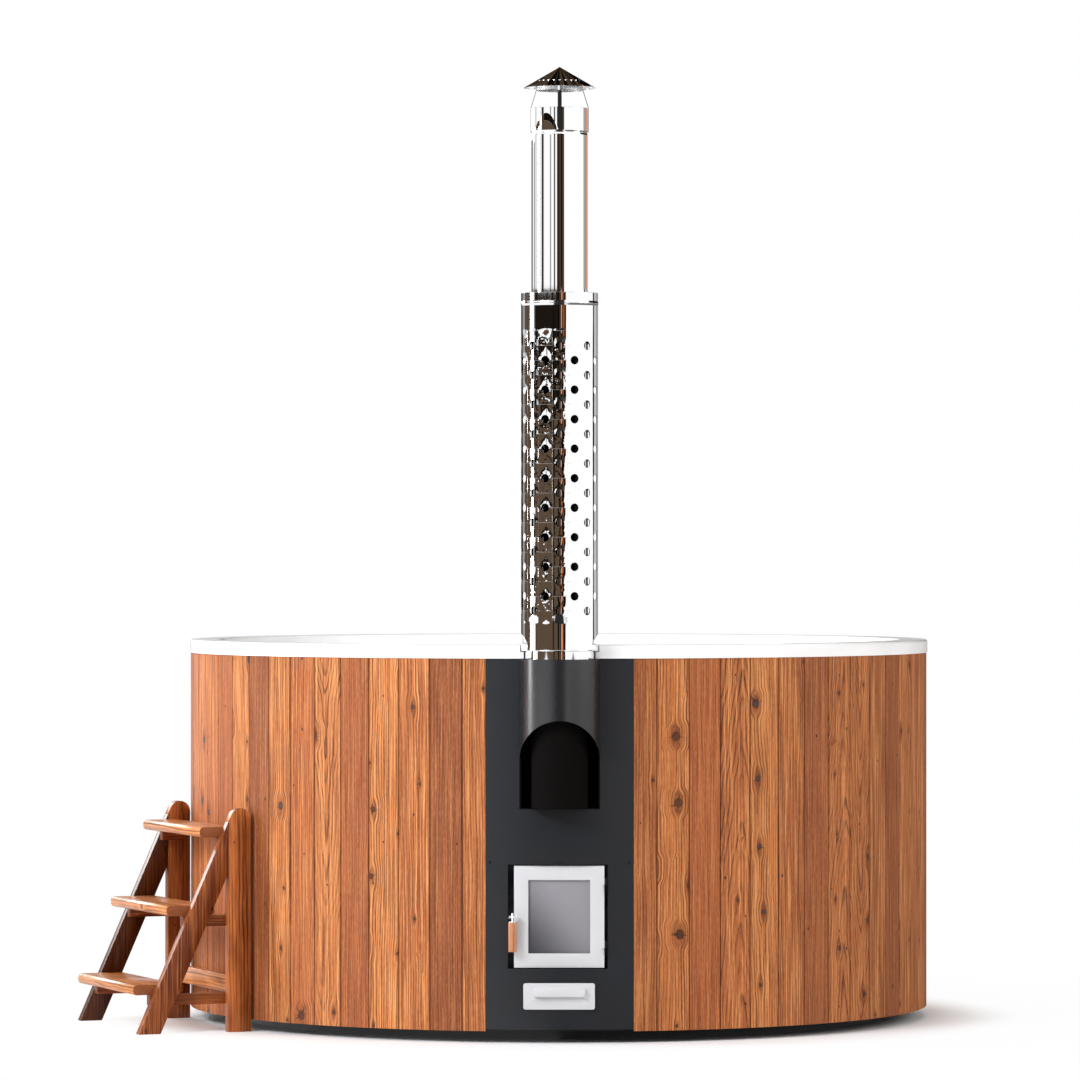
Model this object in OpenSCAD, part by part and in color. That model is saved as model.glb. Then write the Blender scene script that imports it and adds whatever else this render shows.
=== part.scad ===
// Round wood-fired hot tub. Upright boards stand round a moulded white basin, and a water-jacketed
// stove sits under the front seat behind a curved steel panel. Its flue rises through the rim.
// The origin is on the floor under the middle of the tub, +Z is up and the stove faces -Y.

/* [Tub wall] */
// Radius over the corners of the boards
tub_r = 1000; // [940:5:1060]
// Height of the boards' lower ends above the floor
board_foot = 30; // [26:1:40]
// Length of a board
board_len = 956; // [930:1:980]
// Thickness of a board
board_t = 19; // [17:0.5:21]
// Number of whole boards, from one cut board round to the other
board_count = 66; // [64:2:68]
// Width between the panel's edge and the first whole board
cut_board_w = 60.38; // [52:0.02:68]
// Gap between the faces of two boards
board_gap = 0.6; // [0.4:0.1:1.2]
// Bevel on each long edge of a board
board_bevel = 2.6; // [1.5:0.1:3.5]
// Thickness of a tongue
tongue_t = 6; // [4:0.5:7]
// Distance that a tongue stands out
tongue_out = 5; // [4:0.5:7]
// Width of a plywood hoop behind the boards
hoop_w = 48; // [40:1:52]
// Thickness of a plywood hoop
hoop_t = 18; // [12:1:24]

/* [Base] */
// Distance from the boards' face back to the dark skirt under the tub
base_inset = 130; // [100:5:180]
// Wall of the skirt
skirt_t = 20; // [12:1:30]
// Thickness of the floor plate
plate_t = 12; // [9:1:18]
// Width of a bearer or joist
joist_w = 45; // [36:1:60]

/* [Basin] */
// Height of the rim's outer edge
rim_h = 35; // [28:1:45]
// Width of the rim
rim_w = 81; // [78:1:86]
// Distance that the rim stands out over the boards
rim_over = 3; // [1:0.5:5]
// Wall of the moulded basin
shell_t = 8; // [5:0.5:9]
// Rounding of the rim's edges
rim_round = 7; // [4:0.5:10]
// Height of the seat above the floor
bench_z = 500; // [470:5:540]
// Distance from the boards' face in to the basin's wall at the seat
wall_inset = 108; // [95:1:125]
// Depth of the seat
seat_d = 332; // [312:2:352]
// Slope of the footwell's wall, as the difference of its radii
footwell_taper = 20; // [0:1:40]
// Height of the footwell's floor above the floor
floor_z = 92; // [88:1:100]

/* [Front panel] */
// Width of the steel panel
panel_w = 380; // [372:1:388]
// Thickness of the panel sheet
panel_t = 3; // [2:0.5:4]
// Height of the panel's foot above the boards' foot
panel_lift = 5; // [2:1:8]
// Depth of the panel's folded sides
panel_fold = 48; // [40:1:60]

/* [Fire door] */
// Width of the door
door_w = 231.6; // [220:0.2:236]
// Height of the door
door_h = 261.3; // [250:0.1:268]
// Height of the door's lower edge above the floor
door_foot = 193.5; // [188:0.5:200]
// Width of the door's border round the window
door_border = 36.5; // [32:0.5:38]
// Depth of the door
door_d = 20; // [16:1:21]
// Thickness of the door's face
door_face_t = 6; // [4:0.5:7]
// Dark gap at the latch side of the door
latch_gap = 16; // [14:0.5:18]
// Dark gap at the hinge side of the door
hinge_gap = 8.4; // [8.2:0.1:9.5]
// Length of the wooden grip
grip_len = 75; // [60:1:90]
// Diameter of the wooden grip
grip_d = 22; // [16:1:23]

/* [Ash drawer] */
// Width of the drawer's front
drawer_w = 183.4; // [170:0.2:192]
// Height of the drawer's front
drawer_h = 67.5; // [64:0.5:74]
// Height of the drawer's lower edge above the floor
drawer_foot = 87; // [84:0.5:90]
// Thickness of the drawer's front
drawer_t = 6; // [4:0.5:7]
// Length of the ash tray behind the front
tray_len = 325; // [280:5:360]
// Width of the finger lip
lip_w = 135; // [100:1:145]
// Height of the finger lip
lip_h = 24; // [20:1:26]

/* [Stove] */
// Distance from the panel's face back to the stove's front plate
stove_setback = 45; // [43:1:50]
// Length of the stove
stove_len = 480; // [460:5:500]
// Width of the water jacket
jacket_w = 330; // [316:2:340]
// Height of the jacket's underside above the floor
jacket_foot = 76; // [74:1:79]
// Height of the jacket's top above the floor
jacket_top = 575; // [560:1:580]
// Thickness of the stove's steel plate
steel_t = 4; // [3:0.5:5]
// Clear space between the stove and the basin
pocket_gap = 32; // [28:1:40]
// Water space between the jacket and the firebox
water_gap = 26; // [22:1:30]

/* [Flue] */
// Diameter of the flue pipe
flue_d = 144.5; // [136:0.5:150]
// Height of the flue pipe's top above the floor
flue_top = 2395.5; // [2200:0.5:2500]
// Wall of the flue pipe
flue_t = 1.5; // [1:0.1:3]
// Diameter of the heat shield
shield_d = 197.5; // [190:0.5:204]
// Diameter of the shield's neck below its ring
neck_d = 177; // [172:1:184]
// Height of the shield's ring above the floor
shield_foot = 1009; // [1006:1:1016]
// Length of the shield above its ring
shield_len = 913; // [880:1:960]
// Diameter of a hole in the shield
shield_hole_d = 22; // [16:0.5:26]
// Distance between two holes of one column
shield_hole_pitch = 75.2; // [70:0.1:80]
// Height of the lowest holes above the shield's ring
shield_hole_start = 100; // [80:1:120]
// Holes in a long column
shield_holes = 10; // [6:1:10]
// Diameter of the rain cap
cap_d = 185; // [165:1:200]
// Height of the rain cap
cap_h = 54; // [40:1:70]
// Gap between the flue pipe's top and the cap's lower edge
cap_gap = 52.5; // [46:0.5:70]
// Number of pleats in the rain cap
cap_pleats = 24; // [16:1:32]
// Diameter of the sleeve round the flue's foot
sleeve_d = 206; // [200:1:210]
// Wall of the sleeve
sleeve_t = 3; // [2:0.5:4]
// Height of the niche's floor above the floor
niche_foot = 600; // [590:1:615]
// Height of the sleeve's bridge over the niche's window
window_bridge = 156; // [142:1:182]

/* [Steps] */
// Angle of the steps from the tub's left side towards its front
step_angle = 21.6; // [15:0.1:30]
// Gap between the tub and the steps' side frames
step_gap = 4.5; // [2:0.1:18]
// Width of the steps over both side frames
step_w = 533; // [500:1:560]
// Thickness of the steps' timber
timber_t = 27; // [22:0.5:32]
// Width of a post
post_w = 62; // [50:1:70]
// Height of the side frames
step_h = 586; // [570:1:610]
// Length of a side frame along the floor
step_foot_len = 309; // [296:1:340]
// Slope of the stringers from upright
stringer_slope = 24.1; // [23:0.1:26]
// Width of a stringer along the floor
stringer_foot_w = 60; // [50:1:66]
// Height of the lowest tread's top above the floor
first_tread = 128; // [120:1:140]
// Rise from one tread to the next
tread_rise = 204.5; // [200:0.5:208]
// Depth of a tread
tread_d = 132; // [110:1:136]
// Distance that a tread stands out in front of the stringers
nosing = 58; // [40:1:70]
// Height of a tread cleat
cleat_h = 28; // [20:1:34]
// Height of the cross rail
rail_h = 45; // [36:1:55]

/* [Hidden] */
$fn = 240;
// Overrun of every cut past the face it opens
cut = 10;
// Clearance between two pieces that lie against each other on a curve
seat = 0.3;
// Clearance of a pin in its bore
pin_play = 0.08;

// Wall of boards
first_joint = asin((panel_w / 2 + cut_board_w) / tub_r);
pitch = (360 - 2 * first_joint) / board_count;
half_pitch = pitch / 2;
board_top = board_foot + board_len;
board_face_r = tub_r * cos(half_pitch);
board_back_r = board_face_r - board_t;
tongue_r = tub_r - board_t * 0.55;
quarter = round(board_count / 4);
half_count = board_count / 2;
hoop_r = board_back_r - seat;
hoop_in_r = hoop_r - hoop_w;
hoop_parts = 12;
hoop_mid_z = board_foot + board_len * 0.48;
hoop_high_z = board_top - hoop_t * 3;

// Base
base_r = tub_r - base_inset;
plate_top = board_foot + plate_t;
joist_step = joist_w * 4;

// Basin
bench_r = tub_r - wall_inset;
footwell_r = bench_r - seat_d;
footwell_foot_r = footwell_r - footwell_taper;
rim_top = board_top + rim_h;
rim_out_r = tub_r + rim_over;
rim_in_r = rim_out_r - rim_w;
bench_round = 24;
floor_round = 40;
seat_round = 32;
basin_base = floor_z - shell_t;
well_cut_z = bench_z + shell_t / 2;
floor_cut_z = floor_z + shell_t / 2;
hood_half = jacket_w / 2 + pocket_gap + 2 * shell_t;

// Front panel
panel_half = panel_w / 2;
panel_foot = board_foot + panel_lift;
panel_back_r = tub_r - panel_t;
screw_d = 5;
screw_h = 2;
screw_shank_d = 4;
screw_shank_len = 12;
screw_inset = 11;

// Door and its opening
door_x = -1.2;
door_x0 = door_x - door_w / 2;
door_x1 = door_x + door_w / 2;
door_top = door_foot + door_h;
door_sink = 8;
door_y = -(tub_r - door_sink);
door_back = door_y + door_d;
door_flange_t = 3;
door_low_gap = 2.5;
door_high_gap = 3.2;
open_x0 = door_x0 - latch_gap;
open_x1 = door_x1 + hinge_gap;
open_z0 = door_foot - door_low_gap;
open_z1 = door_top + door_high_gap;
surround_t = 2;
glass_t = 4;
glass_lap = 8;
clip_w = 12;
clip_t = 2;
gasket_w = 10;
gasket_gap = 3;
gasket_x0 = door_x0 + door_border - glass_lap - gasket_gap - gasket_w;
gasket_x1 = door_x1 - door_border + glass_lap + gasket_gap + gasket_w;
gasket_z0 = door_foot + door_border - glass_lap - gasket_gap - gasket_w;
gasket_z1 = door_top - door_border + glass_lap + gasket_gap + gasket_w;
lip_t = 4;

// Hinges
knuckle_r = 3.5;
hinge_pin_r = 2;
hinge_x = door_x1 + hinge_gap / 2;
hinge_y = door_y - 4;
knuckle_h = 18;
hinge_pin_top = 2;
hinge_rise = 32;
lug_t = 3;
lug_len = 12;
hinge_arm_len = 26;

// Latch
latch_x = door_x0 + 6;
latch_z = door_foot + door_h * 0.481;
grip_r = grip_d / 2;
grip_x = latch_x - 10;
grip_y = door_y - 5.5 - grip_r;
stud_base_r = 5.5;
stud_r = 3;
stud_base_h = 8;
eye_r = 6.5;
eye_t = 8;
stud_head_t = 2.5;
lever_t = 4;
peg_r = 2.5;
peg_x = -(latch_gap + 0.5);
peg_z = 5.4;
peg_end_y = door_y + 8;
ferrule_h = 2;
ferrule_r = grip_r - 1.5;
tip_rise = 15;
stem_r = 2.5;
keeper_t = 3;
keeper_w = 7.5;
keeper_len = 15;

// Ash drawer
drawer_x = door_x - 0.3;
drawer_x0 = drawer_x - drawer_w / 2;
drawer_x1 = drawer_x + drawer_w / 2;
drawer_top = drawer_foot + drawer_h;
drawer_proud = 3;
drawer_y = -(tub_r + drawer_proud);
drawer_round = 6;
drawer_gap = 1.2;
panel_cut_z = (drawer_top + drawer_gap + open_z0) / 2;
lip_z1 = drawer_foot + drawer_h * 0.845;
lip_z0 = lip_z1 - lip_h;
lip_out = 11;
lip_wall = 2;
lip_round = 8;
tray_t = 1.5;
tray_side = 10.5;
tray_lift = 3;
tray_drop = 8;

// Stove
stove_y = -(tub_r - stove_setback);
stove_plate_t = 6;
plate_back = stove_y + stove_plate_t;
stove_rear = stove_y + stove_len;
jacket_half = jacket_w / 2;
firebox_half = jacket_half - steel_t - water_gap;
firebox_top = jacket_top - steel_t - water_gap - 10;
firebox_rear = stove_rear - steel_t - water_gap - 10;
chamber_floor = jacket_foot + steel_t;
ledge_w = 10;
ledge_t = 8;
ledge_z = drawer_top + drawer_gap + 4.5;
grate_t = 12;
grate_z = ledge_z + ledge_t;
grate_slots = 9;
grate_border = 16;
foot_rail_w = 30;
riser_half = 60;
riser_front = -(tub_r - sleeve_d / 2 - 12);
riser_len = 110;
riser_top = niche_foot + 160;
riser_t = 3;
branch_r = 55;
branch_z = riser_top - 70;
pocket_half = jacket_half + pocket_gap;
pocket_rear = stove_rear + pocket_gap;
pocket_top = jacket_top + pocket_gap - 4;
riser_pocket_half = riser_half + pocket_gap;
riser_pocket_rear = riser_front + riser_len + pocket_gap;
riser_pocket_top = riser_top + pocket_gap - 4;
front_lip_t = 4;

// Flue
flue_y = -tub_r;
flue_r = flue_d / 2;
shield_r = shield_d / 2;
neck_r = neck_d / 2;
shield_t = 1.5;
shield_top = shield_foot + shield_len;
neck_drop = 64;
ring_t = 2.5;
ring_over = 1;
bead_r = 2;
shield_bead_drop = 27;
pipe_bead_drop = 64;
shield_columns = 8;
tee_foot = niche_foot + sleeve_t;
tee_top = board_top - 1;
tee_t = 2;
spigot_len = 40;
sleeve_r = sleeve_d / 2;
sleeve_top = board_top - 1;
recess_r = sleeve_r + 9;
notch_r = neck_r + 3.5;
notch_wall = recess_r - notch_r + shell_t / 2;
ring_seat_r = shield_r + ring_over + 2;
ring_seat_z = shield_foot - ring_t - 3;
collar_r = notch_r + 35;
window_z = sleeve_top - window_bridge - sleeve_r;
spacer_r = 4;
strap_w = 10;
strap_t = 1.5;
cap_foot = flue_top + cap_gap;
cap_r = cap_d / 2;
cap_t = 1.2;
pleat_h = 5;
cap_ring_r = 59;
cap_ring_drop = 7;
cap_ring_top = cap_foot + cap_h - cap_t - cap_h * cap_ring_r / cap_r - 0.5;

// Water pipes between the jacket and the basin
water_pipe_r = 22;
water_pipe_t = 2;
water_pipe_x = -jacket_half * 0.6;
hot_z = jacket_top - 75;
cold_z = jacket_foot + 74;
fitting_r = 38;
fitting_t = 6;
nut_r = 34;
nut_t = 8;
fitting_slots = 5;

// Drain
drain_x = tub_r * sin(half_pitch);
drain_y = footwell_foot_r * 0.8;
drain_pipe_r = 14;
drain_bore_r = 11;
drain_z = plate_top + drain_pipe_r + 1;
inlet_r = 32;
inlet_t = 3;
tail_r = 16;
tail_bore_r = 12;
valve_y = rim_out_r + 0.5;
valve_r = 19;
valve_len = 46;
bonnet_r = 9;
bonnet_top = drain_z + 23;
spigot_r = 12;
spigot_bore_r = 9;
hose_len = 35;
stem_y = valve_y + valve_len / 2;
valve_stem_r = 4;
lever_hub_r = 9;
lever_hub_t = 6;
lever_arm_len = 75;
lever_arm_w = 14;
lever_arm_t = 3;
valve_nut_r = 7;
valve_nut_t = 4;

// Steps
frame_half = step_w / 2;
frame_inner = frame_half - timber_t;
step_back = sqrt(pow(tub_r, 2) - pow(step_w / 2 - timber_t, 2)) + step_gap;
post_front = step_back + post_w;
step_front = step_back + step_foot_len;
step_top_x = step_front - step_h * tan(stringer_slope);
frame_round = (step_top_x - step_back) / (1 + 1 / tan((90 + stringer_slope) / 2)) - seat;
tread_round = 10;
tread_count = 3;
tread_clear = rim_out_r + 1;
rail_t = 22;
rail_z = first_tread - 24;

// Rounded corner between the lines a to b and b to c
function unit(v) = v / norm(v);
function corner(a, b, c, r, n) =
  let (p = unit(a - b), q = unit(c - b), half = acos(p * q) / 2)
  let (middle = b + unit(p + q) * r / sin(half))
  let (from_centre = b + p * r / tan(half) - middle, to_centre = b + q * r / tan(half) - middle)
  let (start = atan2(from_centre.y, from_centre.x), stop = atan2(to_centre.y, to_centre.x))
  let (turn = stop - start > 180 ? stop - start - 360 : stop - start < -180 ? stop - start + 360 : stop - start)
  [for (i = [0:n]) middle + r * [cos(start + turn * i / n), sin(start + turn * i / n)]];

// Outline with each point rounded to its own radius, where 0 leaves it sharp
function rounded(points, radii, n = 6) =
  let (last = len(points) - 1)
  [for (i = [0:last])
    each radii[i] == 0 ? [points[i]] :
      corner(points[i == 0 ? last : i - 1], points[i], points[i == last ? 0 : i + 1], radii[i], n)];

// Block between two opposite corners
module slab(low, high) {
  translate(low) cube(high - low);
}

// Round bar or tube that stands on z0 at a place in plan
module post_tube(r, z0, z1, hole = 0) {
  translate([0, 0, z0]) difference() {
    cylinder(r = r, h = z1 - z0);
    if (hole > 0) translate([0, 0, -cut]) cylinder(r = hole, h = z1 - z0 + 2 * cut);
  }
}

// Round bar or tube that lies along Y
module y_tube(r, y0, y1, hole = 0) {
  rotate([-90, 0, 0]) post_tube(r, y0, y1, hole);
}

// Plan position of the flue
module at_flue() {
  translate([0, flue_y, 0]) children();
}

// Upright plate with rounded corners, seen from the front
module front_plate(x0, x1, z0, z1, y0, y1, r) {
  translate([0, y1, 0]) rotate([90, 0, 0]) linear_extrude(height = y1 - y0)
    polygon(rounded([[x0, z0], [x1, z0], [x1, z1], [x0, z1]], [r, r, r, r]));
}

// Rectangular frame that lies along Y
module frame_ring(x0, x1, z0, z1, t, y0, y1) {
  difference() {
    slab([x0, y0, z0], [x1, y1, z1]);
    slab([x0 + t, y0 - cut, z0 + t], [x1 - t, y1 + cut, z1 - t]);
  }
}

// Place on the joint plane of a board: side is 1 or -1, r is from the tub's axis, t is across the joint
function joint_point(side, r, t) = [
  side * r * sin(half_pitch) + t * cos(half_pitch),
  r * cos(half_pitch) - side * t * sin(half_pitch)
];

function board_outline() =
  let (g = board_gap / 2, back = board_back_r / cos(half_pitch), high = tongue_r + tongue_t / 2)
  let (low = tongue_r - tongue_t / 2, room = board_gap, deep = tongue_out + board_gap)
  [
    joint_point(-1, tub_r, g) + [board_bevel, 0],
    joint_point(1, tub_r, -g) - [board_bevel, 0],
    joint_point(1, tub_r - board_bevel, -g),
    joint_point(1, high, -g),
    joint_point(1, high, tongue_out),
    joint_point(1, low, tongue_out),
    joint_point(1, low, -g),
    joint_point(1, back, -g),
    joint_point(-1, back, g),
    joint_point(-1, low - room, g),
    joint_point(-1, low - room, deep),
    joint_point(-1, high + room, deep),
    joint_point(-1, high + room, g),
    joint_point(-1, tub_r - board_bevel, g)
  ];

// One board, by its place in the ring: board 0 is the first whole one right of the panel
module board(place) {
  rotate([0, 0, first_joint + (place + 0.5) * pitch + 180])
    translate([0, 0, board_foot]) linear_extrude(height = board_len) polygon(board_outline());
}

module board_group(first, last) {
  for (i = [first:last]) board(i);
}

module boards_front_right() {
  color("peru") board_group(0, quarter - 1);
}

module boards_rear_right() {
  color("peru") {
    board_group(quarter, half_count - 2);
    difference() {
      board(half_count - 1);
      translate([drain_x, 0, drain_z]) y_tube(drain_pipe_r + 1, tub_r / 2, tub_r + cut);
    }
  }
}

module boards_rear_left() {
  color("peru") board_group(half_count, board_count - quarter - 1);
}

module boards_front_left() {
  color("peru") board_group(board_count - quarter, board_count - 1);
}

module boards_cut() {
  color("sienna") difference() {
    union() {
      board(-1);
      board(board_count);
    }
    slab([-panel_half - seat, -tub_r - cut, 0], [panel_half + seat, 0, board_top + cut]);
  }
}

// Plywood ring made of butted segments, open behind the front panel
module hoop(z, r_in, r_out, t) {
  difference() {
    for (i = [0:hoop_parts - 1])
      rotate([0, 0, i * 360 / hoop_parts - 90]) rotate_extrude(angle = 360 / hoop_parts)
        translate([r_in, z]) square([r_out - r_in, t]);
    slab([-panel_half, -rim_out_r, z - cut], [panel_half, 0, z + t + cut]);
  }
}

module plywood_hoops() {
  color("burlywood") {
    difference() {
      hoop(plate_top, hoop_in_r, hoop_r, hoop_t);
      slab([drain_x - drain_pipe_r - 2, tub_r / 2, 0], [drain_x + drain_pipe_r + 2, tub_r, plate_top + hoop_t + cut]);
    }
    hoop(hoop_mid_z, hoop_in_r, hoop_r, hoop_t);
    hoop(hoop_high_z, rim_in_r + shell_t + 2, hoop_r, hoop_t);
  }
}

// Plywood ring under the rim, seated on the boards' ends and stopped short of the flue
module rim_core() {
  color("burlywood") difference() {
    for (i = [0:hoop_parts - 1])
      rotate([0, 0, i * 360 / hoop_parts - 90]) rotate_extrude(angle = 360 / hoop_parts)
        translate([rim_in_r + shell_t + seat, board_top])
          square([rim_out_r - rim_in_r - 2 * shell_t - 2 * seat, rim_h - shell_t]);
    at_flue() post_tube(recess_r + shell_t + seat, board_top - cut, rim_top);
  }
}

module base_skirt() {
  color("black") post_tube(base_r, 0, board_foot, base_r - skirt_t);
}

module base_bearers() {
  color("dimgray") for (i = [-2:2]) {
    y = i * base_r * 0.36;
    reach = sqrt(pow(base_r - skirt_t, 2) - pow(abs(y) + joist_w / 2, 2)) - 1;
    slab([-reach, y - joist_w / 2, 0], [reach, y + joist_w / 2, board_foot]);
  }
}

module base_plate() {
  color("dimgray") post_tube(board_back_r - seat, board_foot, plate_top);
}

// Joists under the footwell; the ones behind the stove stop at its rear
module floor_joists() {
  color("burlywood") for (i = [-3:2]) {
    x = (i + 0.5) * joist_step;
    reach = sqrt(pow(footwell_foot_r, 2) - pow(abs(x) + joist_w / 2, 2));
    front = abs(x) < pocket_half + joist_w ? -pocket_rear : reach;
    slab([x - joist_w / 2, -front, plate_top], [x + joist_w / 2, reach, basin_base]);
  }
}

// Dry space for the stove, its smoke riser and the flue, grown by t for the moulded wall round it
module stove_pocket(t) {
  slab([-pocket_half - t, -rim_out_r - cut, t - cut], [pocket_half + t, pocket_rear + t, pocket_top + t]);
  slab([-riser_pocket_half - t, -rim_out_r - cut, t - cut],
    [riser_pocket_half + t, riser_pocket_rear + t, riser_pocket_top + t]);
  at_flue() post_tube(recess_r + t, pocket_top, rim_top - shell_t + t);
}

module basin_outside() {
  rotate_extrude() polygon(rounded([
    [0, basin_base], [footwell_foot_r + shell_t, basin_base], [footwell_r + shell_t, bench_z - shell_t],
    [bench_r + shell_t, bench_z - shell_t], [rim_in_r + shell_t, rim_top - shell_t],
    [rim_out_r - shell_t, rim_top - shell_t], [rim_out_r - shell_t, board_top], [rim_out_r, board_top],
    [rim_out_r, rim_top], [0, rim_top]
  ], [0, floor_round, bench_round - shell_t, seat_round, 0, 0, 0, 0, rim_round, 0]));
}

module basin_inside() {
  rotate_extrude() polygon(rounded([
    [0, floor_z], [footwell_foot_r, floor_z], [footwell_r, bench_z], [bench_r, bench_z],
    [rim_in_r, rim_top], [rim_in_r + 2 * rim_round, rim_top], [rim_in_r + 2 * rim_round, rim_top + cut],
    [0, rim_top + cut]
  ], [0, floor_round, bench_round, seat_round, rim_round, 0, 0, 0]));
}

module basin_shell() {
  difference() {
    union() {
      difference() {
        basin_outside();
        difference() {
          basin_inside();
          stove_pocket(shell_t);
          at_flue() post_tube(collar_r, rim_top - shell_t, rim_top);
        }
        stove_pocket(0);
      }
      intersection() {
        at_flue() post_tube(notch_r + notch_wall, board_top, rim_top);
        post_tube(rim_out_r, board_top, rim_top - rim_round);
      }
    }
    at_flue() post_tube(notch_r, board_top - cut, rim_top + cut);
    at_flue() post_tube(ring_seat_r, ring_seat_z, rim_top + cut);
    translate([drain_x, drain_y, 0]) post_tube(tail_r + seat, 0, floor_z + cut);
    for (z = [hot_z, cold_z])
      translate([water_pipe_x, 0, z]) y_tube(water_pipe_r + seat, pocket_rear - cut, pocket_rear + shell_t + cut);
  }
}

module below(z) {
  slab([-rim_out_r - cut, -rim_out_r - cut, 0], [rim_out_r + cut, rim_out_r + cut, z]);
}

module hood_part() {
  slab([-hood_half, -rim_out_r - cut, well_cut_z], [hood_half, 0, rim_top + cut]);
}

// The moulding is one piece on the real tub. Butt cuts divide it into four solids of simpler form.
module basin() {
  color("white") difference() {
    basin_shell();
    below(well_cut_z);
    hood_part();
  }
}

module basin_hood() {
  color("white") intersection() {
    basin_shell();
    hood_part();
  }
}

module basin_well() {
  color("white") difference() {
    intersection() {
      basin_shell();
      below(well_cut_z);
    }
    below(floor_cut_z);
  }
}

module basin_floor() {
  color("white") intersection() {
    basin_shell();
    below(floor_cut_z);
  }
}

// Curved sheet flush with the boards, folded back at both sides
module panel_sheet() {
  difference() {
    union() {
      intersection() {
        post_tube(tub_r, panel_foot, board_top, panel_back_r);
        slab([-panel_half, -tub_r - cut, 0], [panel_half, 0, board_top]);
      }
      intersection() {
        for (side = [-1, 1])
          slab([side * panel_half - (side > 0 ? panel_t : 0), -tub_r, plate_top],
            [side * panel_half + (side > 0 ? 0 : panel_t), panel_fold - tub_r * cos(asin(panel_half / tub_r)),
              board_top]);
        post_tube(tub_r - panel_t / 2, 0, board_top);
      }
    }
    slab([open_x0, -tub_r - cut, open_z0], [open_x1, -tub_r / 2, open_z1]);
    front_plate(drawer_x0 - drawer_gap, drawer_x1 + drawer_gap, drawer_foot - drawer_gap,
      drawer_top + drawer_gap, -tub_r - cut, -tub_r / 2, drawer_round);
    slab([-sleeve_r - seat, -tub_r - cut, niche_foot - seat], [sleeve_r + seat, -tub_r / 2, board_top + cut]);
    at_panel_screws() y_tube(screw_shank_d / 2 + seat, -tub_r - cut, -tub_r / 2);
  }
}

// The sheet is one piece on the real tub. A butt cut between its two openings divides it.
module front_panel() {
  color([0.19, 0.2, 0.22]) difference() {
    panel_sheet();
    below(panel_cut_z);
  }
}

module front_panel_low() {
  color([0.19, 0.2, 0.22]) intersection() {
    panel_sheet();
    below(panel_cut_z);
  }
}

// The two screws at the panel's edges and the one over the door
module at_panel_screws() {
  for (x = [screw_inset - panel_half, 0, panel_half - screw_inset])
    translate([x, 0, open_z1 + screw_inset / 2]) children();
}

module panel_screws() {
  color("silver") for (x = [screw_inset - panel_half, 0, panel_half - screw_inset]) {
    y = -sqrt(pow(tub_r, 2) - pow(abs(x) - screw_d / 2, 2));
    translate([x, 0, open_z1 + screw_inset / 2]) {
      y_tube(screw_d / 2, y - screw_h, y);
      y_tube(screw_shank_d / 2, y - screw_h / 2, y + screw_shank_len);
    }
  }
}

// Front half of the sheet round the flue's foot, with the arched window cut through it
module flue_sleeve() {
  color([0.27, 0.28, 0.3]) difference() {
    at_flue() post_tube(sleeve_r, niche_foot, sleeve_top, sleeve_r - sleeve_t);
    post_tube(tub_r, 0, board_top + cut);
    slab([-sleeve_r - cut, flue_y - sleeve_r - cut, 0], [sleeve_r + cut, flue_y + cut, window_z]);
    translate([0, 0, window_z]) y_tube(sleeve_r, flue_y - sleeve_r - cut, flue_y + cut);
  }
}

// Back half of the niche and its floor, inside the panel
module niche_back() {
  color("black") intersection() {
    difference() {
      at_flue() post_tube(sleeve_r, niche_foot, sleeve_top);
      at_flue() post_tube(sleeve_r - sleeve_t, niche_foot + sleeve_t, sleeve_top + cut);
      translate([0, 0, branch_z]) y_tube(branch_r + 2, flue_y, -tub_r / 2);
    }
    post_tube(tub_r - seat, 0, board_top);
  }
}

// Dark collars between the panel and the stove's front plate
module surround(x0, x1, z0, z1) {
  intersection() {
    frame_ring(x0 - surround_t, x1 + surround_t, z0 - surround_t, z1 + surround_t, surround_t,
      -tub_r, stove_y);
    post_tube(panel_back_r - seat, 0, board_top);
  }
}

module door_surround() {
  color("black") surround(open_x0, open_x1, open_z0, open_z1);
}

module ash_surround() {
  color("black") surround(drawer_x0 - drawer_gap, drawer_x1 + drawer_gap, drawer_foot - drawer_gap,
    drawer_top + drawer_gap);
}

// Lower ends of the two hinges
function hinge_feet() = [door_foot + hinge_rise, door_top - hinge_rise - 2 * knuckle_h];

module hinge_blocks() {
  color("black") for (z = hinge_feet()) difference() {
    union() {
      translate([hinge_x, hinge_y, 0]) post_tube(knuckle_r, z, z + knuckle_h);
      slab([hinge_x - knuckle_r / 2, hinge_y, z], [open_x1, hinge_y + hinge_arm_len, z + knuckle_h]);
    }
    translate([hinge_x, hinge_y, 0]) post_tube(hinge_pin_r + pin_play, z - cut, z + knuckle_h + cut);
  }
}

module hinge_pins() {
  color("gray") for (z = hinge_feet())
    translate([hinge_x, hinge_y, 0]) post_tube(hinge_pin_r, z, z + 2 * knuckle_h + hinge_pin_top);
}

// Ledge that the latch's peg rests on
module latch_keeper() {
  peg_low = latch_z + peg_z - peg_r - seat;
  color("silver") slab([open_x0, door_y + keeper_t / 2, peg_low - keeper_t],
    [open_x0 + keeper_w, door_y + keeper_len, peg_low]);
}

module stove_front() {
  color("dimgray") {
    difference() {
      slab([-jacket_half, stove_y, jacket_foot], [jacket_half, plate_back, jacket_top]);
      slab([gasket_x0 + lip_t, stove_y - cut, gasket_z0 + lip_t],
        [gasket_x1 - lip_t, plate_back + cut, gasket_z1 - lip_t]);
      slab([drawer_x0 - drawer_gap, stove_y - cut, drawer_foot - drawer_gap],
        [drawer_x1 + drawer_gap, plate_back + cut, drawer_top + drawer_gap]);
    }
    frame_ring(gasket_x0, gasket_x1, gasket_z0, gasket_z1, front_lip_t, door_back, stove_y);
  }
}

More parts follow.
